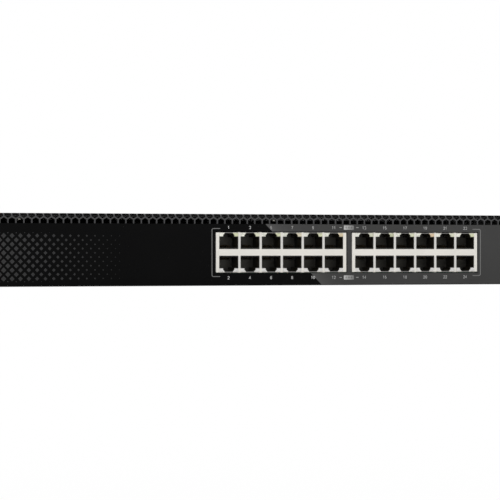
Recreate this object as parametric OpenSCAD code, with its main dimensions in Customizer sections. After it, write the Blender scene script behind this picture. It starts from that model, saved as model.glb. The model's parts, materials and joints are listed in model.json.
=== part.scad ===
// Rack-mounted network switch, one rack unit high, with two blocks of stacked jacks.
// X runs to the right seen from the front, Y to the rear and Z up.
// The origin is the centre of the bottom face, at the rear face of the ear flanges.

/* [Chassis] */
// Width of the sheet-metal body
body_w = 440; // [438:0.5:444]
// Height of the body
body_h = 44.0; // [43.9:0.1:44.3]
// Distance from the ear plane to the outside of the rear wall
body_d = 253; // [250:1:320]
// Thickness of the chassis and cover sheet
sheet = 1.0; // [0.9:0.05:1.0]

/* [Rack ears] */
// Width over both ears
ear_span = 482.6; // [482:0.1:483]
// Distance between the slots of the two ears
slot_span = 465.1; // [465:0.05:465.2]
// Distance between an ear's upper and lower slot
slot_rise = 31.75; // [31.7:0.05:31.8]
// Width of a rack slot
slot_w = 6.8; // [6.5:0.1:7.1]
// End-to-end length of a rack slot
slot_l = 10.3; // [9:0.1:11]

/* [Honeycomb] */
// Distance between neighbouring cells in a row
cell_pitch = 4.901; // [4.8:0.001:5]
// Thickness of the web between cells
cell_wall = 0.85; // [0.8:0.05:1.4]

/* [Jacks] */
// Columns of stacked jacks in each block
jack_columns = 6; // [4:1:6]
// Distance between jack columns
jack_pitch = 13.97; // [13.8:0.01:13.97]
// Width of the dark gap between a block and its opening
panel_gap = 0.6; // [0.5:0.05:0.8]

/* [Fans] */
// Number of blades on each rotor
fan_blades = 7; // [5:1:9]
// Slope of the blades
blade_slope = 38; // [30:1:45]

/* [Reset button] */
// Radius of the button
button_r = 1.2; // [1:0.05:1.3]
// How far the button travels
button_travel = 0.8; // [0.4:0.1:1]

/* [Hidden] */
$fn = 48;

// In names, _x0 and _x1 are the low and high limits on X, and likewise for Y and Z.
half_w = body_w / 2;

// front layers, from the printed overlay back to the tray's front wall
overlay_front = -4.0;
overlay_back = -3.5;
bezel_back = -1.5;
front_wall_in = bezel_back + sheet;
overlay_z0 = 0.4;
overlay_z1 = body_h - 6.1;
bezel_t = bezel_back - overlay_back;
bend_r = 2.5;
return_back = 14; // rear edge of the bezel's return
cover_front = return_back + 0.2;
wall_top = body_h - sheet;

// honeycomb rows, placed along the developed length of the bent strip
cell_side = cell_pitch / sqrt(3);
cell_r = (cell_pitch - cell_wall) / sqrt(3);
row_step = 1.5 * cell_side;
first_row = body_h - 4.95;
bend_start = body_h - bend_r;
bend_len = bend_r * PI / 2;
comb_x = -0.43;
comb_half = half_w - 5;

// jack blocks
jacks_w = jack_columns * jack_pitch + 2.70;
jacks_x = [9.94, 100.44]; // centres of the left and right block
jacks_y0 = -3.9;
jacks_y1 = 20.2;
jacks_z0 = 8.2;
jacks_z1 = 32.65;
jacks_mid_z = 20.44;
shell = 0.3;
housing_inset = shell + 0.05;
housing_z0 = jacks_z0 + housing_inset;
housing_z1 = jacks_z1 - housing_inset;

// right-hand sockets
sfp_x0 = 163.0;
sfp_x1 = 192.4;
sfp_z0 = 8.0;
sfp_z1 = 32.4;
sfp_y1 = 44;
console_x0 = 196.95;
console_x1 = 212.85;
console_mid_x = (console_x0 + console_x1) / 2;
console_y1 = 18;
light_x = 215.5;
light_z = [18, 21.5, 25, 28.5, 31.5];
reset_z = 10.4;
reset_hole_r = button_r + 0.3;

// boards, with their posts as [x, y]
pcb_z0 = 6.4;
pcb_z1 = 8.0;
main_x0 = -120;
main_x1 = 218.2;
main_y0 = 0.5;
main_y1 = 150;
psu_x0 = -212;
psu_x1 = -130;
psu_y0 = 60;
psu_y1 = 240;
main_posts = [[-112, 8], [-45, 8], [153, 8], [-112, 78], [209, 78],
    [-112, 143], [0, 143], [110, 143], [209, 143]];
psu_posts = [[-207, 66], [-135, 66], [-207, 234], [-135, 234]];
all_posts = concat(main_posts, psu_posts);
post_r = 3.0;

// rear wall
rear_wall_in = body_d - sheet;
fan_x = [-70, -20];
fan_z = (body_h - sheet) / 2;
fan_size = 40;
fan_depth = 20;
fan_front = rear_wall_in - fan_depth;
fan_corners = [for (x = [-16, 16], z = [-16, 16]) [x, z]];
duct_r = 19;
blade_tip_r = 18.4;
hub_r = 9.2;
inlet_x = -175;
inlet_z = 21.5;
inlet_screw_x = [inlet_x - 20, inlet_x + 20];
inlet_flange_t = 2.5;
stud_x = -125;
stud_z = 12;

// fasteners: holes as [y, z] on the sides, [x, z] in the front wall, X only on the return
ear_holes = [[12, 12], [12, 31], [31, 12], [31, 31]];
cover_holes = [[52, 37.5], [145, 37.5], [body_d - 18, 37.5]];
bezel_holes = [[-205, 20], [-80, 20], [153, 20]];
return_holes = [-153.9, 10.1, 173];
return_hole_y = 10.9;
ear_t = 2;
screw_r = 1.45;
tapped_r = 1.5;
clear_r = 1.6;
loose_r = 1.7;

// ---- helpers ----
module prism_x(x0, x1)
    translate([x0, 0, 0]) rotate([90, 0, 90]) linear_extrude(x1 - x0) children();

module prism_y(y0, y1)
    translate([0, y1, 0]) rotate([90, 0, 0]) linear_extrude(y1 - y0) children();

module prism_z(z0, z1) translate([0, 0, z0]) linear_extrude(z1 - z0) children();

module block(x0, x1, y0, y1, z0, z1)
    translate([x0, y0, z0]) cube([x1 - x0, y1 - y0, z1 - z0]);

module rect(x0, x1, y0, y1) translate([x0, y0]) square([x1 - x0, y1 - y0]);

module soft_rect(x0, x1, y0, y1, r) {
    rect(x0 + r, x1 - r, y0, y1);
    rect(x0, x1, y0 + r, y1 - r);
    for (x = [x0 + r, x1 - r], y = [y0 + r, y1 - r]) translate([x, y]) circle(r);
}

// places children with their own Z pointing to the rear
module facing_rear(x, y, z) translate([x, y, z]) rotate([-90, 0, 0]) children();

// low and high limits of a span at near..far on the positive or negative side
function side_span(side, near, far) = side > 0 ? [near, far] : [-far, -near];

// six-sided hole, point up
module hex_hole(r) rotate(30) circle(r, $fn = 6);

// field of six-sided vent holes that fits inside a radius
module round_vents(radius, pitch, r) {
    count = ceil(radius / pitch) + 1;
    for (j = [-count:count], i = [-count:count]) {
        x = (i + (abs(j) % 2) / 2) * pitch;
        y = j * pitch * sqrt(3) / 2;
        if (norm([x, y]) < radius - r) translate([x, y]) hex_hole(r);
    }
}

// field of six-sided vent holes with straight edges
module flat_vents(columns, rows, pitch = 5, r = 2.0)
    for (j = [0:rows - 1], i = [0:columns - 1])
        translate([(i + (j % 2) / 2) * pitch, j * pitch * sqrt(3) / 2]) hex_hole(r);

module cross_recess(half_l, half_t, z, depth)
    for (angle = [0, 90]) rotate([0, 0, angle])
        translate([-half_l, -half_t, z]) cube([2 * half_l, 2 * half_t, depth]);

// pan-head screw with a cross recess: head above z = 0, shank below
module pan_screw(len, shank_r = screw_r, head_r = 2.8, head_h = 1.7)
    difference() {
        union() {
            rotate_extrude() polygon([[0, 0], [head_r, 0], [head_r, 0.5 * head_h],
                [0.86 * head_r, 0.82 * head_h], [0.5 * head_r, head_h], [0, head_h]]);
            translate([0, 0, -len]) cylinder(r = shank_r, h = len + 0.2);
        }
        cross_recess(0.62 * head_r, 0.13 * head_r, 0.45 * head_h, head_h);
    }

// flat-head screw whose top is flush with z = 0
module flush_screw(len, shank_r, head_r, head_h)
    difference() {
        union() {
            translate([0, 0, -head_h]) cylinder(r1 = shank_r, r2 = head_r, h = head_h);
            translate([0, 0, -len]) cylinder(r = shank_r, h = len - head_h + 0.2);
        }
        cross_recess(0.55 * head_r, 0.12 * head_r, -0.6 * head_h, head_h);
    }

// round wire through a list of points
module wire(points, r) {
    for (i = [0:len(points) - 2]) {
        run = points[i + 1] - points[i];
        translate(points[i]) rotate([0, acos(run[2] / norm(run)), atan2(run[1], run[0])])
            cylinder(r = r, h = norm(run), $fn = 16);
    }
    for (i = [1:len(points) - 2]) translate(points[i]) sphere(1.04 * r, $fn = 16);
}

// ---- sheet metal ----
// openings shared by the overlay and the bezel, in X and Z
module front_openings(grow) {
    for (x = jacks_x)
        rect(x - jacks_w / 2 - grow, x + jacks_w / 2 + grow, jacks_z0 - grow, jacks_z1 + grow);
    rect(sfp_x0 - grow, sfp_x1 + grow, sfp_z0 - grow, sfp_z1 + grow);
    rect(console_x0 - grow, console_x1 + 0.25, jacks_z0 - grow, jacks_z1 + grow);
    for (z = light_z) translate([light_x, z]) circle(1.15);
    translate([light_x, reset_z]) circle(reset_hole_r);
}

module tray_front_wall() {
    gap = 0.9;
    bay_top = 36;
    prism_y(bezel_back, front_wall_in) difference() {
        rect(-half_w, half_w, 0, 35);
        // bays open to the top, which the bezel closes
        rect(jacks_x[0] - jacks_w / 2 - gap, jacks_x[1] + jacks_w / 2 + gap,
            jacks_z0 - gap, bay_top);
        rect(sfp_x0 - gap, light_x + 2.6, jacks_z0 - gap, bay_top);
        for (hole = bezel_holes) translate(hole) circle(clear_r);
    }
}

module tray_side_wall(side) {
    span = side_span(side, half_w - sheet, half_w);
    prism_x(span[0], span[1]) difference() {
        rect(bezel_back, body_d, 0, wall_top);
        // room for the bezel's return
        rect(bezel_back - 1, return_back + 0.1, bend_start - 0.1, wall_top + 1);
        for (hole = ear_holes) translate(hole) circle(tapped_r);
        for (hole = cover_holes) translate(hole) circle(clear_r);
        translate([96, 11]) flat_vents(columns = side < 0 ? 24 : 20, rows = 5);
    }
}

module tray_rear_wall()
    prism_y(rear_wall_in, body_d) difference() {
        rect(-half_w, half_w, 0, wall_top);
        soft_rect(inlet_x - 14.1, inlet_x + 14.1, inlet_z - 10.3, inlet_z + 10.3, 1.5);
        for (x = inlet_screw_x) translate([x, inlet_z]) circle(clear_r);
        for (x = fan_x) translate([x, fan_z]) {
            round_vents(duct_r, 4.6, 2.05);
            for (corner = fan_corners) translate(corner) circle(2.1);
        }
        translate([70, 12]) flat_vents(columns = 26, rows = 4);
        translate([stud_x, stud_z]) circle(2.55);
    }

module chassis_tray() color("#202122") union() {
    prism_z(0, sheet) rect(-half_w, half_w, bezel_back, body_d);
    tray_front_wall();
    for (side = [-1, 1]) tray_side_wall(side);
    tray_rear_wall();
    // ledge along the top of the rear wall
    block(-half_w + 3 * sheet, half_w - 3 * sheet, rear_wall_in - 10, rear_wall_in + 0.5 * sheet,
        wall_top - sheet, wall_top);
}

module top_cover() color("#1b1c1d") {
    tongue_top = body_h - bezel_t - 0.1;
    tongue_t = 1;
    difference() {
        union() {
            block(-half_w, half_w, cover_front, body_d, wall_top, body_h);
            // side flanges inside the tray's walls
            for (side = [-1, 1]) {
                span = side_span(side, half_w - 2 * sheet - 0.2, half_w - sheet - 0.2);
                block(span[0], span[1], 24, rear_wall_in - 6, wall_top - 10, wall_top + 0.2);
            }
            // tongues under the bezel's return
            for (x = return_holes) {
                block(x - 8, x + 8, return_hole_y - 4, cover_front + 1,
                    tongue_top - tongue_t, tongue_top);
                block(x - 8, x + 8, cover_front, cover_front + 1,
                    tongue_top - tongue_t, wall_top + 0.2);
            }
        }
        for (hole = cover_holes) translate([-half_w - 1, hole[0], hole[1]])
            rotate([0, 90, 0]) cylinder(r = tapped_r, h = body_w + 2);
        for (x = return_holes)
            translate([x, return_hole_y, body_h - 8]) cylinder(r = tapped_r, h = 7);
    }
}

// face, bend and return of the bezel, in Y and Z
module bezel_profile() {
    rect(overlay_back, bezel_back, 0, bend_start);
    translate([overlay_back + bend_r, bend_start]) difference() {
        circle(bend_r);
        circle(bend_r - bezel_t);
        rect(-4, 4, -4, 0);
        rect(0, 4, -1, 4);
    }
    rect(overlay_back + bend_r, return_back, body_h - bezel_t, body_h);
}

// countersunk hole through the return
module return_hole() {
    translate([0, 0, body_h - bezel_t - 1]) cylinder(r = clear_r, h = 4);
    translate([0, 0, body_h - 1.5]) cylinder(r1 = clear_r, r2 = 3.1, h = 1.5);
    translate([0, 0, body_h - 0.001]) cylinder(r = 3.1, h = 1);
}

module front_bezel() color("#3c3d3f")
    difference() {
        prism_x(-half_w, half_w) bezel_profile();
        prism_y(overlay_back - 1, bezel_back + 1) front_openings(0.8);
        honeycomb();
        // blind holes for the screws through the tray
        for (hole = bezel_holes) translate([hole[0], bezel_back + 1, hole[1]])
            rotate([90, 0, 0]) cylinder(r = tapped_r, h = 2.5);
        for (x = return_holes) translate([x, return_hole_y, 0]) return_hole();
    }

// cell in the return, in the given row counted from the face
module return_cell(x, row) {
    y = overlay_back + bend_r + first_row + row * row_step - bend_start - bend_len;
    translate([x, y, body_h - bezel_t - 0.5]) linear_extrude(bezel_t + 1) hex_hole(cell_r);
}

// rows: 0 in the face, 1 round the bend, 2 and 3 in the return; odd rows sit half a pitch over
module honeycomb() {
    count = ceil(comb_half / cell_pitch) + 1;
    for (k = [-count:count]) {
        even_x = comb_x + k * cell_pitch;
        odd_x = even_x + cell_pitch / 2;
        if (abs(even_x) < comb_half) {
            translate([even_x, bezel_back + 0.5, first_row]) rotate([90, 0, 0])
                linear_extrude(bezel_t + 1) hex_hole(cell_r);
            return_cell(even_x, 2);
        }
        if (abs(odd_x) < comb_half) {
            bend_cell(odd_x);
            return_cell(odd_x, 3);
        }
    }
}

// the cell that wraps the bend, cut along the bend's own normal
module bend_cell(x) {
    angle = (first_row + row_step - bend_start) / bend_r * 180 / PI;
    rest = 90 - angle;
    // heights of the hexagon's corners, projected from the bend to a flat
    top = bend_r * sin(rest) + (cell_r - rest * PI / 180 * bend_r) * cos(rest);
    bottom = bend_r * sin(angle) + (cell_r - angle * PI / 180 * bend_r) * cos(angle);
    middle = bend_r * sin(cell_r / 2 / bend_r * 180 / PI);
    reach = cell_r * cos(30);
    translate([x, overlay_back + bend_r, bend_start]) rotate([rest, 0, 0])
        linear_extrude(bend_r + 1) polygon([[0, top], [-reach, middle], [-reach, -middle],
            [0, -bottom], [reach, -middle], [reach, middle]]);
}

module faceplate_overlay() color("#0e0f10")
    prism_y(overlay_front, overlay_back) difference() {
        soft_rect(-half_w + 0.2, half_w - 0.2, overlay_z0, overlay_z1, 0.8);
        front_openings(panel_gap);
    }

module rack_slot() {
    straight = (slot_l - slot_w) / 2;
    rect(-straight, straight, -slot_w / 2, slot_w / 2);
    for (end = [-1, 1]) translate([end * straight, 0]) circle(slot_w / 2);
}

// angle bracket: a plate on the side wall and a slotted flange
module ear(side) {
    plate = side_span(side, half_w, half_w + ear_t);
    flange = side_span(side, half_w, ear_span / 2);
    square_end = side_span(side, half_w, half_w + 4);
    prism_x(plate[0], plate[1]) difference() {
        soft_rect(-1, 40, 1, wall_top, 3);
        rect(-4, 0, -1, body_h + 1);
        for (hole = ear_holes) translate(hole) circle(loose_r);
    }
    prism_y(-ear_t, 0) difference() {
        union() {
            soft_rect(flange[0], flange[1], 0.8, body_h - 0.8, 2);
            rect(square_end[0], square_end[1], 0.8, body_h - 0.8);
        }
        for (up = [-1, 1])
            translate([side * slot_span / 2, body_h / 2 + up * slot_rise / 2]) rack_slot();
    }
}

module rack_ear_left() color("#17181a") ear(-1);
module rack_ear_right() color("#17181a") ear(1);

// ---- fasteners ----
module side_screws(holes, seat_x, len)
    for (side = [-1, 1], hole = holes)
        translate([side * seat_x, hole[0], hole[1]]) rotate([0, side * 90, 0]) pan_screw(len);

module ear_screws() color("#2a2b2c") side_screws(ear_holes, half_w + ear_t, 7);
module cover_screws() color("#303132") side_screws(cover_holes, half_w, 6);

module bezel_screws() color("silver") {
    for (hole = bezel_holes) facing_rear(hole[0], front_wall_in, hole[1]) pan_screw(2.4);
    for (x = return_holes) translate([x, return_hole_y, body_h])
        flush_screw(4.1, shank_r = screw_r, head_r = 2.85, head_h = 1.4);
}

module inlet_screws() color("silver")
    for (x = inlet_screw_x)
        facing_rear(x, body_d + inlet_flange_t, inlet_z) pan_screw(9, head_r = 2.7, head_h = 1.6);

module fan_screws() color("#2c2d2e")
    for (x = fan_x, corner = fan_corners)
        facing_rear(x + corner[0], body_d, fan_z + corner[1])
            pan_screw(9, shank_r = 1.9, head_r = 3.4);

module board_screws() color("silver")
    for (post = all_posts)
        translate([post[0], post[1], pcb_z1]) pan_screw(5, head_r = 2.7, head_h = 1.6);

module board_standoffs() color("#c9b37a")
    for (post = all_posts) translate([post[0], post[1], 0]) difference() {
        translate([0, 0, sheet]) cylinder(r = post_r, h = pcb_z0 - sheet, $fn = 6);
        translate([0, 0, 2.2]) cylinder(r = tapped_r, h = 6);
    }

// ---- stacked jack blocks ----
// port heights are distances above or below the block's middle
port_w = 12.5;
port_in = 2.02;
port_out = 11.95;
lens_back = -3.4;
lip_back = -0.8;
cavity_back = 7.2;
contact_pitch = 1.016;
contact_w = 0.36;

function column_x(centre, i) = centre + (i - (jack_columns - 1) / 2) * jack_pitch;

// closed metal can; the children cut its front plate
module shield_can(x0, x1, back) {
    prism_y(jacks_y0, jacks_y0 + shell) difference() {
        rect(x0, x1, jacks_z0, jacks_z1);
        children();
    }
    prism_y(jacks_y0 + shell, back - shell) difference() {
        rect(x0, x1, jacks_z0, jacks_z1);
        rect(x0 + shell, x1 - shell, jacks_z0 + shell, jacks_z1 - shell);
    }
    prism_y(back - shell, back) rect(x0, x1, jacks_z0, jacks_z1);
}

// mouths of the lower and upper port in a column
module port_mouths(width, inner, outer)
    for (up = [-1, 1]) {
        span = side_span(up, inner, outer);
        rect(-width / 2, width / 2, span[0], span[1]);
    }

module plug_cavity(up, inner)
    scale([1, up]) polygon([[-5.95, inner], [5.95, inner], [5.95, 9.35], [3.55, 9.35],
        [3.55, 10.65], [2.6, 11.7], [-2.6, 11.7], [-3.55, 10.65], [-3.55, 9.35],
        [-5.95, 9.35]]);

module jack_shield(centre) color("#dedbd4") {
    shield_can(centre - jacks_w / 2, centre + jacks_w / 2, jacks_y1)
        for (i = [0:jack_columns - 1])
            translate([column_x(centre, i), jacks_mid_z]) port_mouths(port_w, port_in, port_out);
    // grounding fingers between the columns, below and above the can
    for (i = [1:jack_columns - 1],
        span = [[jacks_z0 - 0.3, jacks_z0 + 0.1], [jacks_z1 - 0.1, jacks_z1 + 0.22]]) {
        x = column_x(centre, i - 0.5);
        block(x - 0.75, x + 0.75, jacks_y0 + 0.25, jacks_y0 + 3, span[0], span[1]);
    }
}

module jack_housing(centre) color("#141414") {
    x0 = centre - jacks_w / 2 + housing_inset;
    x1 = centre + jacks_w / 2 - housing_inset;
    mouth_back = lens_back + 0.05;
    // thin walls round the lenses at the mouth
    prism_y(jacks_y0 + housing_inset, mouth_back) difference() {
        rect(x0, x1, housing_z0, housing_z1);
        for (i = [0:jack_columns - 1]) translate([column_x(centre, i), jacks_mid_z])
            port_mouths(port_w + 0.06, port_in + 0.07, port_out + 0.05);
    }
    // plug cavities, with a lip in front of the contacts: [front, back, inner edge]
    for (layer = [[mouth_back, lip_back, 2.8], [lip_back, cavity_back, 2.45]])
        prism_y(layer[0], layer[1]) difference() {
            rect(x0, x1, housing_z0, housing_z1);
            for (i = [0:jack_columns - 1], up = [-1, 1])
                translate([column_x(centre, i), jacks_mid_z]) plug_cavity(up, layer[2]);
        }
    prism_y(cavity_back, jacks_y1 - housing_inset) rect(x0, x1, housing_z0, housing_z1);
}

module rj45_shield_left() jack_shield(jacks_x[0]);
module rj45_shield_right() jack_shield(jacks_x[1]);
module rj45_housing_left() jack_housing(jacks_x[0]);
module rj45_housing_right() jack_housing(jacks_x[1]);

// eight contacts side by side, each with the children's profile in Y and Z
module contact_row(centre) for (k = [0:7]) {
    x = centre + (k - 3.5) * contact_pitch;
    prism_x(x - contact_w / 2, x + contact_w / 2) children();
}

// sprung contacts on the inner side of each plug cavity
module rj45_contacts() color("#d8b24a")
    for (centre = jacks_x, i = [0:jack_columns - 1], up = [-1, 1])
        contact_row(column_x(centre, i)) translate([0, jacks_mid_z]) scale([1, up])
            polygon([[-0.6, 2.45], [0.8, 2.45], [6.4, 4.3], [6.2, 4.6], [0.7, 2.78],
                [-0.6, 2.78]]);

// lenses in one outer corner of every port mouth; side 1 is the left corner, -1 the right
module corner_lenses(side)
    for (centre = jacks_x, i = [0:jack_columns - 1], up = [-1, 1])
        prism_y(jacks_y0, lens_back)
            translate([column_x(centre, i), jacks_mid_z]) scale([side, up])
                polygon([[-6.22, 11.88], [-2.6, 11.88], [-3.72, 10.65], [-3.72, 9.8],
                    [-6.22, 9.8]]);

module link_led_lenses() color("#e1e1d7") corner_lenses(1);
module activity_led_lenses() color("#cfd0a8") corner_lenses(-1);

// ---- small form-factor cages ----
sfp_wall = 0.4;
sfp_bays = [[sfp_x0 + sfp_wall, 177.5], [177.9, sfp_x1 - sfp_wall]]; // spans on X
sfp_rows = [[sfp_z0 + sfp_wall, 17.6], [22.8, sfp_z1 - sfp_wall]]; // spans on Z

module sfp_cage() color("#c9cbcc") {
    prism_y(-4.5, sfp_y1) difference() {
        rect(sfp_x0, sfp_x1, sfp_z0, sfp_z1);
        for (bay = sfp_bays, row = sfp_rows) rect(bay[0], bay[1], row[0], row[1]);
        // space between the rows, for the light pipes
        rect(sfp_bays[0][0], sfp_bays[1][1], 18.0, 22.4);
    }
    prism_y(sfp_y1, sfp_y1 + sfp_wall) rect(sfp_x0, sfp_x1, sfp_z0, sfp_z1);
}

module sfp_connectors() color("#1c1c1c")
    for (bay = sfp_bays, row = sfp_rows) {
        x = (bay[0] + bay[1]) / 2;
        z = row[0];
        difference() {
            block(x - 5.8, x + 5.8, 35, sfp_y1, z, z + 6.2);
            block(x - 5.0, x + 5.0, 34, 41, z + 2.4, z + 3.6);
        }
    }

// fingers below and above the cage, and a plain strip on each side
module sfp_emi_fingers() color("#d6cfae") {
    finger_w = 2.0;
    pitch = (sfp_x1 - sfp_x0 - 3.4) / 10;
    for (edge = [[sfp_x0, sfp_z0, -1], [sfp_x1, sfp_z1, 1]]) { // [x, z, outward sign]
        out = edge[2];
        for (i = [0:10]) {
            x = sfp_x0 + 0.7 + i * pitch;
            prism_x(x, x + finger_w) translate([0, edge[1] + out * 0.02]) scale([1, out])
                polygon([[-4.0, 0], [-4.0, 0.15], [-2.8, 0.5], [-2.4, 0.5], [-1.0, 0.15],
                    [0.4, 0.15], [0.4, 0]]);
        }
        strip = side_span(out, 0.02, 0.17);
        block(edge[0] + strip[0], edge[0] + strip[1], -4.0, 2.0, sfp_z0 + 1, sfp_z1 - 1);
    }
}

// two pipes per bay; each ends in a raised triangle, the left one pointing down
module sfp_light_pipe() color("#e8ecec")
    for (bay = sfp_bays, offset_x = [-3, 3]) {
        x = (bay[0] + bay[1]) / 2 + offset_x;
        difference() {
            block(x - 1.5, x + 1.5, -4.3, 30, 18.8, 21.6);
            prism_y(-5, -3.9) translate([x, 20.2]) scale([1, sign(offset_x)]) difference() {
                rect(-2, 2, -2, 2);
                polygon([[-1.3, -1], [1.3, -1], [0, 1.1]]);
            }
        }
    }

// ---- console and USB stack ----
usb_z = 27.6;
console_z = 11.4;
stack_cavity_back = 12.5;

module console_mouth()
    translate([console_mid_x, console_z + 0.6])
        polygon([[-6.0, -2.6], [-3.47, -2.6], [-3.47, -3.0], [3.47, -3.0], [3.47, -2.6],
            [6.0, -2.6], [6.0, 4.3], [3.47, 4.3], [3.47, 6.0], [2.72, 6.8], [-2.72, 6.8],
            [-3.47, 6.0], [-3.47, 4.3], [-6.0, 4.3]]);

module usb_mouth(half_l, half_h)
    rect(console_mid_x - half_l, console_mid_x + half_l, usb_z - half_h, usb_z + half_h);

module console_usb_shield() color("#d5d3cd")
    shield_can(console_x0, console_x1, console_y1) {
        console_mouth();
        usb_mouth(6.25, 2.56);
    }

module console_usb_housing() color("#161616") {
    x0 = console_x0 + housing_inset;
    x1 = console_x1 - housing_inset;
    prism_y(jacks_y0 + housing_inset, stack_cavity_back) difference() {
        rect(x0, x1, housing_z0, housing_z1);
        console_mouth();
        usb_mouth(6.15, 2.5);
    }
    prism_y(stack_cavity_back, console_y1 - housing_inset)
        rect(x0, x1, housing_z0, housing_z1);
    // tongue that carries the USB contacts
    block(console_mid_x - 5.6, console_mid_x + 5.6, -3.0, stack_cavity_back + 0.2,
        usb_z + 0.1, usb_z + 1.9);
}

module console_usb_contacts() color("#d8b24a") {
    contact_row(console_mid_x) translate([0, console_z - 2.0])
        polygon([[0.2, 0], [2.0, 0], [10.2, 2.4], [10.0, 2.7], [1.9, 0.33], [0.2, 0.33]]);
    for (offset_x = [-3.5, -1, 1, 3.5]) {
        x = console_mid_x + offset_x;
        block(x - 0.5, x + 0.5, -2.0, 6.5, usb_z - 0.06, usb_z + 0.1);
    }
}

// ---- indicators and reset ----
button_front = -2.4;
button_back = 4.0;

module status_light_pipes() color("#e9eeee") {
    for (z = light_z) facing_rear(light_x, overlay_front + 0.1, z) cylinder(r = 1.0, h = 9.9);
    // block that joins the pipes, and its leg down to the board
    block(light_x - 2.0, light_x + 2.0, 5.5, 9.6, 15.5, light_z[4] + 0.6);
    block(light_x - 2.0, light_x + 2.0, 8.4, 9.6, pcb_z1, 16);
}

module reset_button() color("#3a3a3a") {
    facing_rear(light_x, button_front, reset_z)
        cylinder(r = button_r, h = button_back - button_front);
    facing_rear(light_x, 1.2, reset_z) cylinder(r = button_r + 0.5, h = 0.6);
}

module reset_switch() color("#232323")
    difference() {
        block(light_x - 2.4, light_x + 2.4, 3.0, 8.0, pcb_z1, pcb_z1 + 5.6);
        // bore that leaves the button room to travel
        facing_rear(light_x, 2, reset_z)
            cylinder(r = button_r + 0.05, h = button_back - 2 + 1.1 + button_travel);
    }

// ---- mains inlet and earth ----
blade_spots = [[-7, -2], [7, -2], [0, 2]]; // [x, z] from the inlet's centre
blade_back_end = body_d - 36; // inner ends of the blades' tabs

module inlet_socket()
    polygon([[-12, -8], [12, -8], [12, 4.2], [8.2, 8], [-8.2, 8], [-12, 4.2]]);

// bar along Y, centred on an inlet blade
module blade_bar(spot, half_x, half_z, y0, y1)
    block(inlet_x + spot[0] - half_x, inlet_x + spot[0] + half_x, y0, y1,
        inlet_z + spot[1] - half_z, inlet_z + spot[1] + half_z);

module ac_inlet_body() color("#101010")
    difference() {
        union() {
            prism_y(body_d, body_d + inlet_flange_t)
                soft_rect(inlet_x - 25, inlet_x + 25, inlet_z - 11.2, inlet_z + 11.2, 3);
            prism_y(body_d - 28, body_d)
                soft_rect(inlet_x - 13.9, inlet_x + 13.9, inlet_z - 10.1, inlet_z + 10.1, 1.3);
        }
        prism_y(body_d - 14, body_d + 3) translate([inlet_x, inlet_z]) inlet_socket();
        for (x = inlet_screw_x) facing_rear(x, body_d - 1, inlet_z) cylinder(r = loose_r, h = 5);
        for (spot = blade_spots) blade_bar(spot, 1.05, 2.05, body_d - 29, body_d - 13);
    }

// blades with a thin tab at the inner end; the middle one reaches further out
module ac_inlet_pins() color("silver")
    for (spot = blade_spots) {
        blade_bar(spot, 1, 2, body_d - 33, body_d - (spot[0] == 0 ? 1 : 2));
        blade_bar(spot, 0.4, 2.4, blade_back_end, body_d - 33);
    }

module ground_stud() color("#c8a85a")
    facing_rear(stud_x, rear_wall_in, stud_z) {
        translate([0, 0, -1.6]) cylinder(r = 4.0, h = 1.6);
        translate([0, 0, -0.2]) cylinder(r = 2.5, h = sheet + 4.5);
        // free end, turned down for a ring terminal
        translate([0, 0, sheet + 4.2]) cylinder(r = 2.0, h = 5.8);
    }

module ground_nut() color("silver")
    facing_rear(stud_x, body_d, stud_z) difference() {
        union() {
            cylinder(r = 5.0, h = 0.8);
            cylinder(r = 4.6, h = 4.0, $fn = 6);
        }
        translate([0, 0, -1]) cylinder(r = 2.55, h = 6);
    }

// ---- fans ----
module fan_duct() {
    half = fan_size / 2;
    flange_t = 3.2;
    difference() {
        union() {
            for (y = [fan_front, rear_wall_in - flange_t])
                prism_y(y, y + flange_t) soft_rect(-half, half, -half, half, 3);
            prism_y(fan_front, rear_wall_in) intersection() {
                circle(duct_r + 1.6);
                square(fan_size, center = true);
            }
        }
        facing_rear(0, fan_front - 1, 0) cylinder(r = duct_r, h = fan_depth + 2, $fn = 72);
        for (corner = fan_corners)
            facing_rear(corner[0], fan_front - 1, corner[1]) cylinder(r = 1.95, h = fan_depth + 2);
    }
}

// motor base on four arms, with the bearing tube
module fan_motor_base() {
    base_front = rear_wall_in - 2.6;
    difference() {
        union() {
            facing_rear(0, base_front, 0) cylinder(r = hub_r, h = 2.0);
            for (angle = [45:90:315]) rotate([0, angle, 0])
                block(hub_r - 1, duct_r + 0.5, base_front, rear_wall_in - 0.8, -1.3, 1.3);
            facing_rear(0, rear_wall_in - 14, 0) cylinder(r = 3.0, h = 12);
        }
        facing_rear(0, rear_wall_in - 15, 0) cylinder(r = 1.55, h = 13.4);
    }
}

module fan_frame(x) color("#1a1a1a") translate([x, 0, fan_z]) {
    fan_duct();
    fan_motor_base();
}

module fan_rotor(x) color("#222222") translate([x, 0, fan_z]) {
    // hub cup and shaft
    difference() {
        facing_rear(0, fan_front + 1.0, 0) cylinder(r = hub_r, h = 15.6);
        facing_rear(0, fan_front + 2.4, 0) cylinder(r = hub_r - 1, h = 16);
    }
    facing_rear(0, fan_front + 2, 0) cylinder(r = 1.5, h = fan_depth - 4.5);
    // sloped blades, trimmed to the ring between hub and tip
    intersection() {
        for (i = [0:fan_blades - 1]) rotate([0, i * 360 / fan_blades, 0])
            translate([hub_r - 0.6, fan_front + 8.9, 0]) rotate([blade_slope, 0, 0])
                translate([0, -0.5, -8.5]) cube([12, 1.0, 17]);
        difference() {
            facing_rear(0, fan_front + 1.6, 0) cylinder(r = blade_tip_r, h = 14.6, $fn = 72);
            facing_rear(0, fan_front + 1, 0) cylinder(r = hub_r - 0.5, h = 16);
        }
    }
}

module fan_frame_left() fan_frame(fan_x[0]);
module fan_frame_right() fan_frame(fan_x[1]);
module fan_rotor_left() fan_rotor(fan_x[0]);
module fan_rotor_right() fan_rotor(fan_x[1]);

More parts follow.
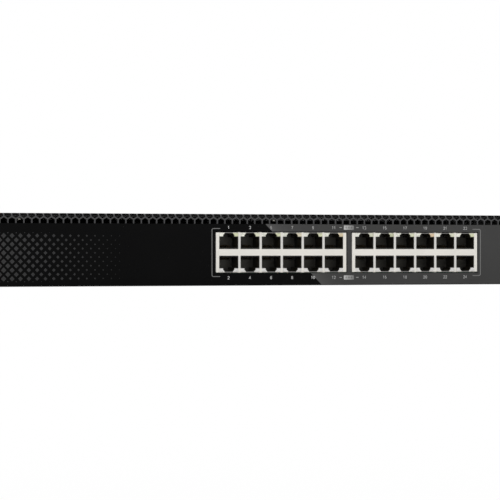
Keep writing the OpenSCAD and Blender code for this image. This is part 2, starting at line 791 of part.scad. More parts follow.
// four wound poles round each bearing tube
module fan_stators() color("#a5562a")
    for (x = fan_x) facing_rear(x, rear_wall_in - 12.5, fan_z) difference() {
        union() {
            cylinder(r = 4.4, h = 8);
            for (angle = [0, 90]) rotate([0, 0, angle])
                translate([-7.2, -1.6, 1]) cube([14.4, 3.2, 6]);
        }
        translate([0, 0, -1]) cylinder(r = 3.05, h = 11);
    }

// three wires from each fan to its connector
module fan_cables() color("#b02020")
    for (centre = fan_x, k = [-1:1]) {
        x = centre + 1.5 * k;
        wire([[x + 13, fan_front - 0.1, 37], [x + 13, fan_front - 7, 37], [x + 10, 205, 14],
            [x, 165, 11], [x, 144, 11]], 0.55);
    }

// ---- main board ----
phy_x = [-8, 51, 110];
asic_h = 2.6;
phy_h = 1.6;

// box standing on a board
module part(x0, x1, y0, y1, height) block(x0, x1, y0, y1, pcb_z1, pcb_z1 + height);

// rounded box standing on a board
module soft_part(x0, x1, y0, y1, height, r)
    prism_z(pcb_z1, pcb_z1 + height) soft_rect(x0, x1, y0, y1, r);

module main_pcb() color("#1d5a3a")
    prism_z(pcb_z0, pcb_z1) difference() {
        rect(main_x0, main_x1, main_y0, main_y1);
        for (post = main_posts) translate(post) circle(loose_r);
        // notch in the left edge
        rect(main_x0 - 1, main_x0 + 9, main_y1 - 30, main_y1 - 18);
    }

module switch_asic() color("#26282a") {
    part(44.5, 75.5, 69.5, 100.5, 1.2);
    block(47, 73, 72, 98, pcb_z1 + 1.2, pcb_z1 + asic_h);
}

// base with straight fins along Y
module finned(x0, x1, y0, y1, z0, base, z1, fins, fin_t) {
    block(x0, x1, y0, y1, z0, z0 + base);
    for (i = [0:fins - 1]) {
        x = x0 + i * (x1 - x0 - fin_t) / (fins - 1);
        block(x, x + fin_t, y0, y1, z0 + base - 0.1, z1);
    }
}

module asic_heatsink() color("#3b4046")
    finned(35, 85, 60, 110, pcb_z1 + asic_h, base = 3, z1 = 31, fins = 14, fin_t = 1.0);

module phy_chips() color("#232527") for (x = phy_x) part(x - 8, x + 8, 37, 53, phy_h);

module phy_heatsinks() color("#9da3a8")
    for (x = phy_x)
        finned(x - 11, x + 11, 34, 56, pcb_z1 + phy_h, base = 2, z1 = 18, fins = 8, fin_t = 0.9);

module processor() color("#2a2c2e") part(140, 159, 62, 81, 2.0);

module memory_chips() color("#1e1f21") {
    for (y = [56, 70, 84]) part(168, 177, y, y + 11.5, 1.1);
    part(140, 148, 90, 98, 1.8);
    part(152, 158, 92, 97, 1.6);
}

// round capacitor with a groove near the foot
module can(x, y, r, height)
    translate([x, y, pcb_z1]) rotate_extrude()
        polygon([[0, 0], [r, 0], [r, 0.1 * height], [0.94 * r, 0.14 * height],
            [r, 0.18 * height], [r, height - 0.5], [r - 0.5, height], [0, height]]);

module main_capacitors() color("#31343a") {
    for (x = [-98, -86], y = [92, 105]) can(x, y, r = 4, height = 11.5);
    for (x = [24, 96], y = [118, 130]) can(x, y, r = 3.15, height = 7.7);
}

module power_inductors() color("#4a4d50")
    for (spot = [[-98, 70], [-84, 70], [10, 96], [10, 82], [104, 84], [118, 84], [185, 108]])
        soft_part(spot[0] - 5, spot[0] + 5, spot[1] - 5, spot[1] + 5, 4.2, 1.8);

// box connector with an open top
module open_header(x0, x1, y0, y1, height, wall_x, wall_y, floor_t)
    difference() {
        part(x0, x1, y0, y1, height);
        block(x0 + wall_x, x1 - wall_x, y0 + wall_y, y1 - wall_y,
            pcb_z1 + floor_t, pcb_z1 + height + 1);
    }

module board_connectors() color("#e6e3da") {
    // main supply input
    open_header(-117, -107, 88, 112, 9, wall_x = 1.4, wall_y = 1.4, floor_t = 3);
    // fans, open to the rear
    for (x = fan_x) difference() {
        part(x - 4, x + 4, 142, 148, 6.5);
        block(x - 3.2, x + 3.2, 142.8, 149, pcb_z1 + 2, pcb_z1 + 5.5);
    }
    // mains input and supply output, on the power supply board
    open_header(inlet_x - 11, inlet_x + 11, body_d - 48, body_d - 41, 7,
        wall_x = 1, wall_y = 1.2, floor_t = 2.6);
    open_header(-139, -132, 92, 112, 9, wall_x = 1.2, wall_y = 1.2, floor_t = 3);
}

// ---- power supply ----
module psu_pcb() color("#8a6a3a")
    prism_z(pcb_z0, pcb_z1) difference() {
        rect(psu_x0, psu_x1, psu_y0, psu_y1);
        for (post = psu_posts) translate(post) circle(loose_r);
    }

module psu_insulator() color("#d9d6c4")
    prism_z(sheet + 0.05, sheet + 0.45) difference() {
        rect(psu_x0 - 3, psu_x1 + 3, psu_y0 - 3, psu_y1 + 3);
        for (post = psu_posts) translate(post) circle(post_r + 0.6);
    }

// two core plates joined by outer legs and a round middle
module psu_transformer() color("#c7a93c") {
    for (z = [0, 22]) block(-187, -157, 104, 132, pcb_z1 + z, pcb_z1 + z + 7);
    for (x = [-187, -163]) block(x, x + 6, 104, 132, pcb_z1 + 6.9, pcb_z1 + 22.1);
    translate([-172, 118, pcb_z1 + 6.9]) cylinder(r = 8.4, h = 15.2);
}

module psu_bulk_capacitor() color("#23262c") can(-190, 158, r = 11, height = 30);

// wound rings on round bases
module psu_filter_chokes() color("#8f4a22")
    for (spot = [[-198, 196], [-150, 160]]) {
        translate([spot[0], spot[1], pcb_z1 + 5.2])
            rotate_extrude() translate([7, 0]) circle(4.2, $fn = 24);
        translate([spot[0], spot[1], pcb_z1]) difference() {
            cylinder(r = 11, h = 1.6);
            translate([0, 0, 1.05]) cylinder(r = 4, h = 2);
        }
    }

module psu_film_capacitors() color("#d8b52e") {
    soft_part(-176, -158, 190, 198, 15, 1);
    soft_part(-176, -163, 176, 183, 12, 1);
    soft_part(-149, -143, 192, 208, 10, 1);
}

// upright plates with short fins
module psu_heatsinks() color("#a7adb2") {
    block(-208, -205, 84, 140, pcb_z1, 37);
    for (y = [84:8:138]) block(-205.1, -198, y, y + 1.2, pcb_z1 + 8, 37);
    block(-149, -146, 104, 146, pcb_z1, 36);
    for (y = [104:8:144]) block(-153, -148.9, y, y + 1.2, pcb_z1 + 10, 36);
}

module psu_output_capacitors() color("#2d3f2f")
    for (x = [-141, -153], y = [74, 86]) can(x, y, r = 5, height = 20);

// wires from the inlet blades down to the mains connector
module mains_harness() color("#7a4a2a")
    for (spot = blade_spots) {
        x = inlet_x + spot[0];
        z = inlet_z + spot[1];
        wire([[x, blade_back_end - 0.1, z], [x, body_d - 42, z], [x, body_d - 44.5, z - 3],
            [x, body_d - 44.5, 11]], 0.9);
    }

// six wires from the power supply to the main board, alternately higher and lower
module dc_harness() color("#c8c8c8")
    for (k = [0:5]) {
        y = 94.5 + k * 3;
        crest_z = 26 + (k % 2);
        wire([[-135.5, y, 12], [-135.5, y, 21], [-131, y, crest_z], [-117, y, crest_z],
            [-112, y, 21], [-112, y, 12]], 0.8);
    }

chassis_tray();
top_cover();
front_bezel();
faceplate_overlay();
rack_ear_left();
rack_ear_right();
ear_screws();
cover_screws();
bezel_screws();
rj45_shield_left();
rj45_shield_right();
rj45_housing_left();
rj45_housing_right();
rj45_contacts();
link_led_lenses();
activity_led_lenses();
sfp_cage();
sfp_connectors();
sfp_emi_fingers();
sfp_light_pipe();
console_usb_shield();
console_usb_housing();
console_usb_contacts();
status_light_pipes();
reset_button();
reset_switch();
ac_inlet_body();
ac_inlet_pins();
inlet_screws();
ground_stud();
ground_nut();
fan_frame_left();
fan_frame_right();
fan_rotor_left();
fan_rotor_right();
fan_stators();
fan_screws();
fan_cables();
main_pcb();
board_standoffs();
board_screws();
switch_asic();
asic_heatsink();
phy_chips();
phy_heatsinks();
processor();
memory_chips();
main_capacitors();
power_inductors();
board_connectors();
psu_pcb();
psu_insulator();
psu_transformer();
psu_bulk_capacitor();
psu_filter_chokes();
psu_film_capacitors();
psu_heatsinks();
psu_output_capacitors();
mains_harness();
dc_harness();
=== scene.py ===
import json
import math
import random
from functools import cache

import bmesh
import bpy
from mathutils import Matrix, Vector


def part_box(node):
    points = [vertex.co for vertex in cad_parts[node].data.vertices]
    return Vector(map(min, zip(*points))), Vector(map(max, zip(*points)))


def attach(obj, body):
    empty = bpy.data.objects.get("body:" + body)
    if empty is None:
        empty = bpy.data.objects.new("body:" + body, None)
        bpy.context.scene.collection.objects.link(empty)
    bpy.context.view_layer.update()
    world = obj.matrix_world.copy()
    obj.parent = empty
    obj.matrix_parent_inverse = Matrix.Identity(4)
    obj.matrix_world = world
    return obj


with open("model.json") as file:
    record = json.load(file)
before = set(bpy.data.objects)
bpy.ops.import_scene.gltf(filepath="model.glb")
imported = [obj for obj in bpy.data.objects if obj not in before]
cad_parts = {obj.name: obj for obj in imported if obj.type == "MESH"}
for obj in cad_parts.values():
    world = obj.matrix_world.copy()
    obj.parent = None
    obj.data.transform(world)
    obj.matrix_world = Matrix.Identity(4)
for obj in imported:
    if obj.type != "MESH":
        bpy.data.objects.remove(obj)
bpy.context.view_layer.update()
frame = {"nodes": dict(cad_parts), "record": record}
random.seed(11)
NODES = frame["nodes"]
SLOTS = {part["node"]: part["material_slot"] for part in frame["record"]["subparts"]}

MM = 0.001
JACK_PITCH = 13.97      # between jack columns
JACK_COLUMNS = 6        # in each block
JACK_MID_Z = 20.44      # between the upper and lower jack rows
SPLIT_SUM = 36.9        # the faceplate turns from black to gray where x + z passes this
SHIELDS = ("rj45_shield_left", "rj45_shield_right")


def mm_box(node):
    low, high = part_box(node)
    return low / MM, high / MM


# ------------------------------------------------------------------ shader graph
def add_node(tree, kind, inputs=None, **settings):
    """A new node; each input takes a value or a link from another node's output."""
    node = tree.nodes.new(kind)
    for key, value in settings.items():
        setattr(node, key, value)
    for key, value in (inputs or {}).items():
        socket = node.inputs[key]
        if isinstance(value, bpy.types.NodeSocket):
            tree.links.new(value, socket)
            continue
        if socket.type == "RGBA" and len(value) == 3:
            value = (*value, 1.0)
        socket.default_value = value
    return node


class Graph:
    """One node material, with short calls for the nodes it needs."""

    def __init__(self, name):
        self.material = bpy.data.materials.new(name)
        self.material.use_nodes = True
        self.tree = self.material.node_tree
        self.tree.nodes.clear()
        self.output = self.node("ShaderNodeOutputMaterial")
        self.coords = self.node("ShaderNodeTexCoord").outputs["Object"]
        self.xyz = None

    def node(self, kind, inputs=None, **settings):
        return add_node(self.tree, kind, inputs, **settings)

    def finish(self, shader):
        self.tree.links.new(shader.outputs[0], self.output.inputs[0])
        return self.material

    def math(self, operation, first, second=0.0, third=0.0, clamp=False):
        node = self.node("ShaderNodeMath", {0: first, 1: second, 2: third},
                         operation=operation, use_clamp=clamp)
        return node.outputs[0]

    def add(self, first, second):
        return self.math("ADD", first, second)

    def subtract(self, first, second):
        return self.math("SUBTRACT", first, second)

    def multiply(self, first, second):
        return self.math("MULTIPLY", first, second)

    def above(self, value, limit):
        return self.math("GREATER_THAN", value, limit)

    def below(self, value, limit):
        return self.math("LESS_THAN", value, limit)

    def absolute(self, value):
        return self.math("ABSOLUTE", value)

    def near(self, value, target, reach):
        return self.math("COMPARE", value, target, reach)

    def axis(self, index):
        """Object coordinate along X, Y or Z, in metres."""
        if self.xyz is None:
            self.xyz = self.node("ShaderNodeSeparateXYZ", {0: self.coords})
        return self.xyz.outputs[index]

    def noise(self, scale, detail=3.0, stretch=None, seed=0.0):
        vector = self.coords
        if stretch or seed:
            shift = {"Scale": stretch or (1, 1, 1), "Location": (seed, seed * 0.7, -seed)}
            vector = self.node("ShaderNodeMapping", {0: vector, **shift}).outputs[0]
        inputs = {"Scale": scale, "Detail": detail, "Roughness": 0.55, "Vector": vector}
        return self.node("ShaderNodeTexNoise", inputs).outputs["Fac"]

    def ramp(self, value, start, end, low=0.0, high=1.0, smooth=True):
        """Maps start..end to low..high."""
        node = self.node("ShaderNodeMapRange", {0: value, 1: start, 2: end, 3: low, 4: high},
                         interpolation_type="SMOOTHSTEP" if smooth else "LINEAR")
        return node.outputs[0]

    def mix(self, factor, first, second, blend="MIX"):
        node = self.node("ShaderNodeMix", {0: factor, 6: first, 7: second},
                         data_type="RGBA", blend_type=blend)
        return node.outputs[2]

    def combine(self, channels):
        return self.node("ShaderNodeCombineColor", dict(enumerate(channels))).outputs[0]

    def wave(self, direction, scale, **inputs):
        node = self.node("ShaderNodeTexWave", {"Vector": self.coords, "Scale": scale, **inputs},
                         wave_type="BANDS", bands_direction=direction, wave_profile="SIN")
        return node.outputs["Fac"]


def tint(color, factor):
    return tuple(min(1.0, max(0.0, channel * factor)) for channel in color)


def gray(value):
    return (value, value, value)


def surface(name, edge, base=None, color=None, alt=None, rough=0.5, rough_vary=0.06, metal=0.0,
            spec=0.5, vary=0.10, vary_scale=45.0, grain=900.0, brushed=None, bump=0.05,
            depth_mm=0.04, extra_bump=None, wear=0.5, edge_mm=0.4, speckle=0.0, coat=0.0,
            transmission=0.0):
    """A surface with uneven colour and roughness, fine grain and worn edges.

    base, alt    the plain colour, and the colour it drifts to if not a lighter base
    color        a function of the graph that gives the colour in place of base
    vary         how far the colour drifts, in patches set by vary_scale
    grain        scale of the fine noise, stretched per axis by brushed
    bump         strength of the relief, depth_mm its depth; extra_bump adds a height
    edge         colour of worn edges; wear is its amount and edge_mm its reach
    speckle      strength of pale specks
    """
    graph = Graph(name)
    painted = color(graph) if color else None
    patches = graph.noise(vary_scale, detail=4.0, seed=len(name) * 0.37)
    if color:
        shade = graph.ramp(patches, 0.3, 0.7, low=1 - vary, high=1 + vary)
        skin = graph.mix(1.0, painted, graph.combine([shade] * 3), "MULTIPLY")
    else:
        skin = graph.mix(graph.ramp(patches, 0.32, 0.68), tint(base, 1 - vary),
                         alt or tint(base, 1 + vary))
    fine = graph.noise(grain, detail=2.0, stretch=brushed)
    if speckle:
        specks = graph.noise(grain * 0.8, detail=1.0, seed=3.1)
        skin = graph.mix(graph.ramp(specks, 0.62, 0.75, high=speckle), skin, tint(base, 2.4))

    # an edge is worn where a slightly rounded normal leaves the true one
    rounded_normal = graph.node("ShaderNodeBevel", {"Radius": edge_mm * MM}, samples=3).outputs[0]
    true_normal = graph.node("ShaderNodeNewGeometry").outputs["True Normal"]
    dot = graph.node("ShaderNodeVectorMath", {0: rounded_normal, 1: true_normal},
                     operation="DOT_PRODUCT")
    worn = graph.ramp(graph.subtract(1.0, dot.outputs["Value"]), 0.03, 0.22)
    broken = graph.ramp(graph.noise(260.0, seed=5.0), 0.35, 0.62, low=0.25)
    worn = graph.multiply(graph.multiply(worn, broken), wear)

    uneven = graph.ramp(graph.noise(vary_scale * 3.0, seed=8.0), 0.25, 0.75,
                        low=rough - rough_vary, high=rough + rough_vary)
    if brushed:
        uneven = graph.add(uneven, graph.multiply(graph.subtract(fine, 0.5), 0.18))
    roughness = graph.math("ADD", uneven, graph.multiply(worn, -0.08), clamp=True)
    height = graph.add(fine, extra_bump(graph)) if extra_bump else fine
    relief = graph.node("ShaderNodeBump", {"Strength": bump, "Distance": depth_mm * MM,
                                           "Height": height, "Normal": rounded_normal})
    return graph.finish(graph.node("ShaderNodeBsdfPrincipled", {
        "Base Color": graph.mix(worn, skin, edge),
        "Roughness": roughness,
        "Metallic": metal,
        "Specular IOR Level": spec,
        "Coat Weight": coat,
        "Coat Roughness": 0.12,
        "Transmission Weight": transmission,
        "Normal": relief.outputs[0],
    }))


# ------------------------------------------------------------------ colour by place
# Limits on coordinates in these functions are in metres, as the shader sees them.
def overlay_color(graph):
    """Black and gray print split by a 45 degree line; the gray is a little paler along it."""
    x, z = graph.axis(0), graph.axis(2)
    past = graph.subtract(graph.add(x, z), SPLIT_SUM * MM)
    gray_side = graph.above(past, 0.0)
    fade = graph.math("EXPONENT", graph.multiply(past, -130.0))
    strength = graph.ramp(z, 0.0, 0.036, low=0.030, high=0.047, smooth=False)
    lift = graph.multiply(graph.math("MINIMUM", fade, 1.0), strength)
    value = graph.add(0.0580, lift)
    gray_print = graph.combine(graph.multiply(value, k) for k in (1.0, 0.995, 0.985))
    return graph.mix(gray_side, (0.0038, 0.0038, 0.0039), gray_print)


def bezel_color(graph):
    """Satin paint on the front, top and the bend between them; the cell walls and the inside get a
    much darker colour, which is painted shade.
    """
    low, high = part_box("front_bezel")
    bend = 0.0025           # radius between the front and top faces
    face_depth = 0.00005    # how far in still counts as the face
    bend_depth = 0.0003
    y, z = graph.axis(1), graph.axis(2)
    from_y = graph.subtract(y, low.y + bend)
    from_z = graph.subtract(z, high.z - bend)
    radius = graph.math("SQRT", graph.add(graph.multiply(from_y, from_y),
                                          graph.multiply(from_z, from_z)))
    flat = graph.math("MAXIMUM", graph.below(y, low.y + face_depth),
                      graph.above(z, high.z - face_depth))
    corner = graph.multiply(graph.below(from_y, 0.0), graph.above(from_z, 0.0))
    rounded = graph.multiply(corner, graph.above(radius, bend - bend_depth))
    skin = graph.math("MAXIMUM", flat, rounded)
    # off the outer skin the dark colour is painted shade for the honeycomb cell walls and the
    # inside
    return graph.mix(skin, (0.013, 0.013, 0.0135), (0.054, 0.054, 0.056))


def block_axes(graph):
    """X from the nearest jack column, X from the block's middle, and distance above or
    below the middle of the jack rows."""
    x, z = graph.axis(0), graph.axis(2)
    left, right = [(low.x + high.x) / 2 for low, high in map(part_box, SHIELDS)]
    in_right = graph.above(x, (left + right) / 2)
    middle = graph.add(left, graph.multiply(in_right, right - left))
    across = graph.subtract(x, middle)
    # twenty whole pitches keep the count positive
    turn = graph.add(graph.math("DIVIDE", across, JACK_PITCH * MM), 20.0)
    column = graph.multiply(graph.subtract(graph.math("FRACT", turn), 0.5), JACK_PITCH * MM)
    rise = graph.absolute(graph.subtract(z, JACK_MID_Z * MM))
    return column, across, rise


def shield_color(graph):
    """Matt plate, with painted shade on the thin bars and on the thin edge over each latch slot.
    """
    column, across, rise = block_axes(graph)
    # painted shade: the thin bars and the thin edge over each latch slot get darker colours
    bar = graph.multiply(graph.near(rise, 0.0060, 0.0037),
                         graph.below(graph.absolute(across), 0.0390))
    slot_edge_shade = graph.multiply(graph.above(rise, 0.01190),
                               graph.below(graph.absolute(column), 0.0026))
    plate = graph.mix(bar, (0.812, 0.786, 0.727), (0.700, 0.685, 0.655))
    return graph.mix(slot_edge_shade, plate, (0.30, 0.295, 0.285))


def jack_color(graph):
    """Moulded black with painted light and shade: the deep end of a cavity gets painted light,
    its right wall and contact pocket get painted shade."""
    column, _, rise = block_axes(graph)
    y = graph.axis(1)
    lip_depth = 0.004
    facing = -0.7           # a normal part below this faces -X or -Y
    true_normal = graph.node("ShaderNodeNewGeometry").outputs["True Normal"]
    normal = graph.node("ShaderNodeSeparateXYZ", {0: true_normal})
    front = graph.below(normal.outputs[1], facing)
    deep = graph.multiply(front, graph.above(y, lip_depth))
    lip = graph.multiply(front, graph.below(y, lip_depth))
    right_wall_shade = graph.below(normal.outputs[0], facing)
    body = graph.ramp(rise, 0.0036, 0.0050, low=0.25)
    slot = graph.ramp(rise, 0.0088, 0.0096, low=1.0, high=0.22)
    lit = graph.multiply(body, slot)
    # painted shade: front-facing faces near the mouth and the walls facing -X get darker colours
    plastic = graph.mix(lip, (0.030, 0.029, 0.026), (0.011, 0.0105, 0.009))
    plastic = graph.mix(right_wall_shade, plastic, (0.0105, 0.0085, 0.0045))
    # painted light on the deep end of each cavity, fading across the column
    sideways = graph.ramp(column, -0.0009, 0.0059, low=0.80, high=0.30)
    painted_light = graph.multiply(graph.multiply(deep, lit), sideways)
    return graph.mix(painted_light, plastic, (0.070, 0.066, 0.050))


def lens_color(clear, tinted):
    """Frosted lens; the upper row is tinted, with three warmer ones in it."""
    warm = (0.74, 0.42, 0.27)
    warm_lenses = ((0.0219, 0.22), (0.0498, 0.36), (0.1124, 0.50))  # x, strength

    def run(graph):
        x, z = graph.axis(0), graph.axis(2)
        upper = graph.above(z, JACK_MID_Z * MM)
        dots = graph.ramp(graph.noise(900.0, detail=2.0, seed=1.7), 0.45, 0.6)
        low_row = graph.mix(dots, clear, tint(clear, 0.86))
        high_row = graph.mix(dots, tinted, tint(tinted, 0.72))
        faded = graph.ramp(graph.noise(75.0, detail=1.0, seed=6.3), 0.45, 0.6, high=0.28)
        high_row = graph.mix(faded, high_row, tint(clear, 1.08))
        for lens_x, strength in warm_lenses:
            here = graph.near(x, lens_x, 0.0022)
            high_row = graph.mix(graph.multiply(here, strength), high_row, warm)
        return graph.mix(upper, low_row, high_row)

    return run


def board_color(base, trace, pad, pitch=1.0):
    """Board colour with a pattern of traces, and plated holes over it."""

    def lines(graph, vector, scale, mortar, **settings):
        inputs = {"Vector": vector, "Scale": scale / pitch, "Mortar Size": mortar,
                  "Color1": gray(0), "Color2": gray(0), "Mortar": gray(1)}
        return graph.node("ShaderNodeTexBrick", inputs, **settings).outputs["Color"]

    def run(graph):
        turned = graph.node("ShaderNodeMapping", {0: graph.coords,
                                                  "Rotation": (0, 0, math.radians(45))})
        diagonal = lines(graph, turned.outputs[0], 210.0, 0.055, offset=0.5, squash=0.6)
        square = lines(graph, graph.coords, 90.0, 0.02, offset=0.3)
        patch = graph.ramp(graph.noise(34.0, detail=2.0, seed=2.2), 0.47, 0.5)
        mask = graph.mix(graph.mix(patch, diagonal, square), base, trace)
        cells = graph.node("ShaderNodeTexVoronoi", {"Scale": 260.0, "Vector": graph.coords,
                                                    "Randomness": 0.35}, feature="F1")
        return graph.mix(graph.below(cells.outputs["Distance"], 0.13), mask, pad)

    return run


def turns(direction, scale, depth):
    """Bands of wound wire or tape, as a height."""

    def run(graph):
        return graph.multiply(graph.wave(direction, scale, Distortion=0.4, Detail=1.0), depth)

    return run


def striped_color(first, second, direction, scale, start=0.4, end=0.6):
    def run(graph):
        bands = graph.wave(direction, scale, Distortion=0.25)
        return graph.mix(graph.ramp(bands, start, end), first, second)

    return run


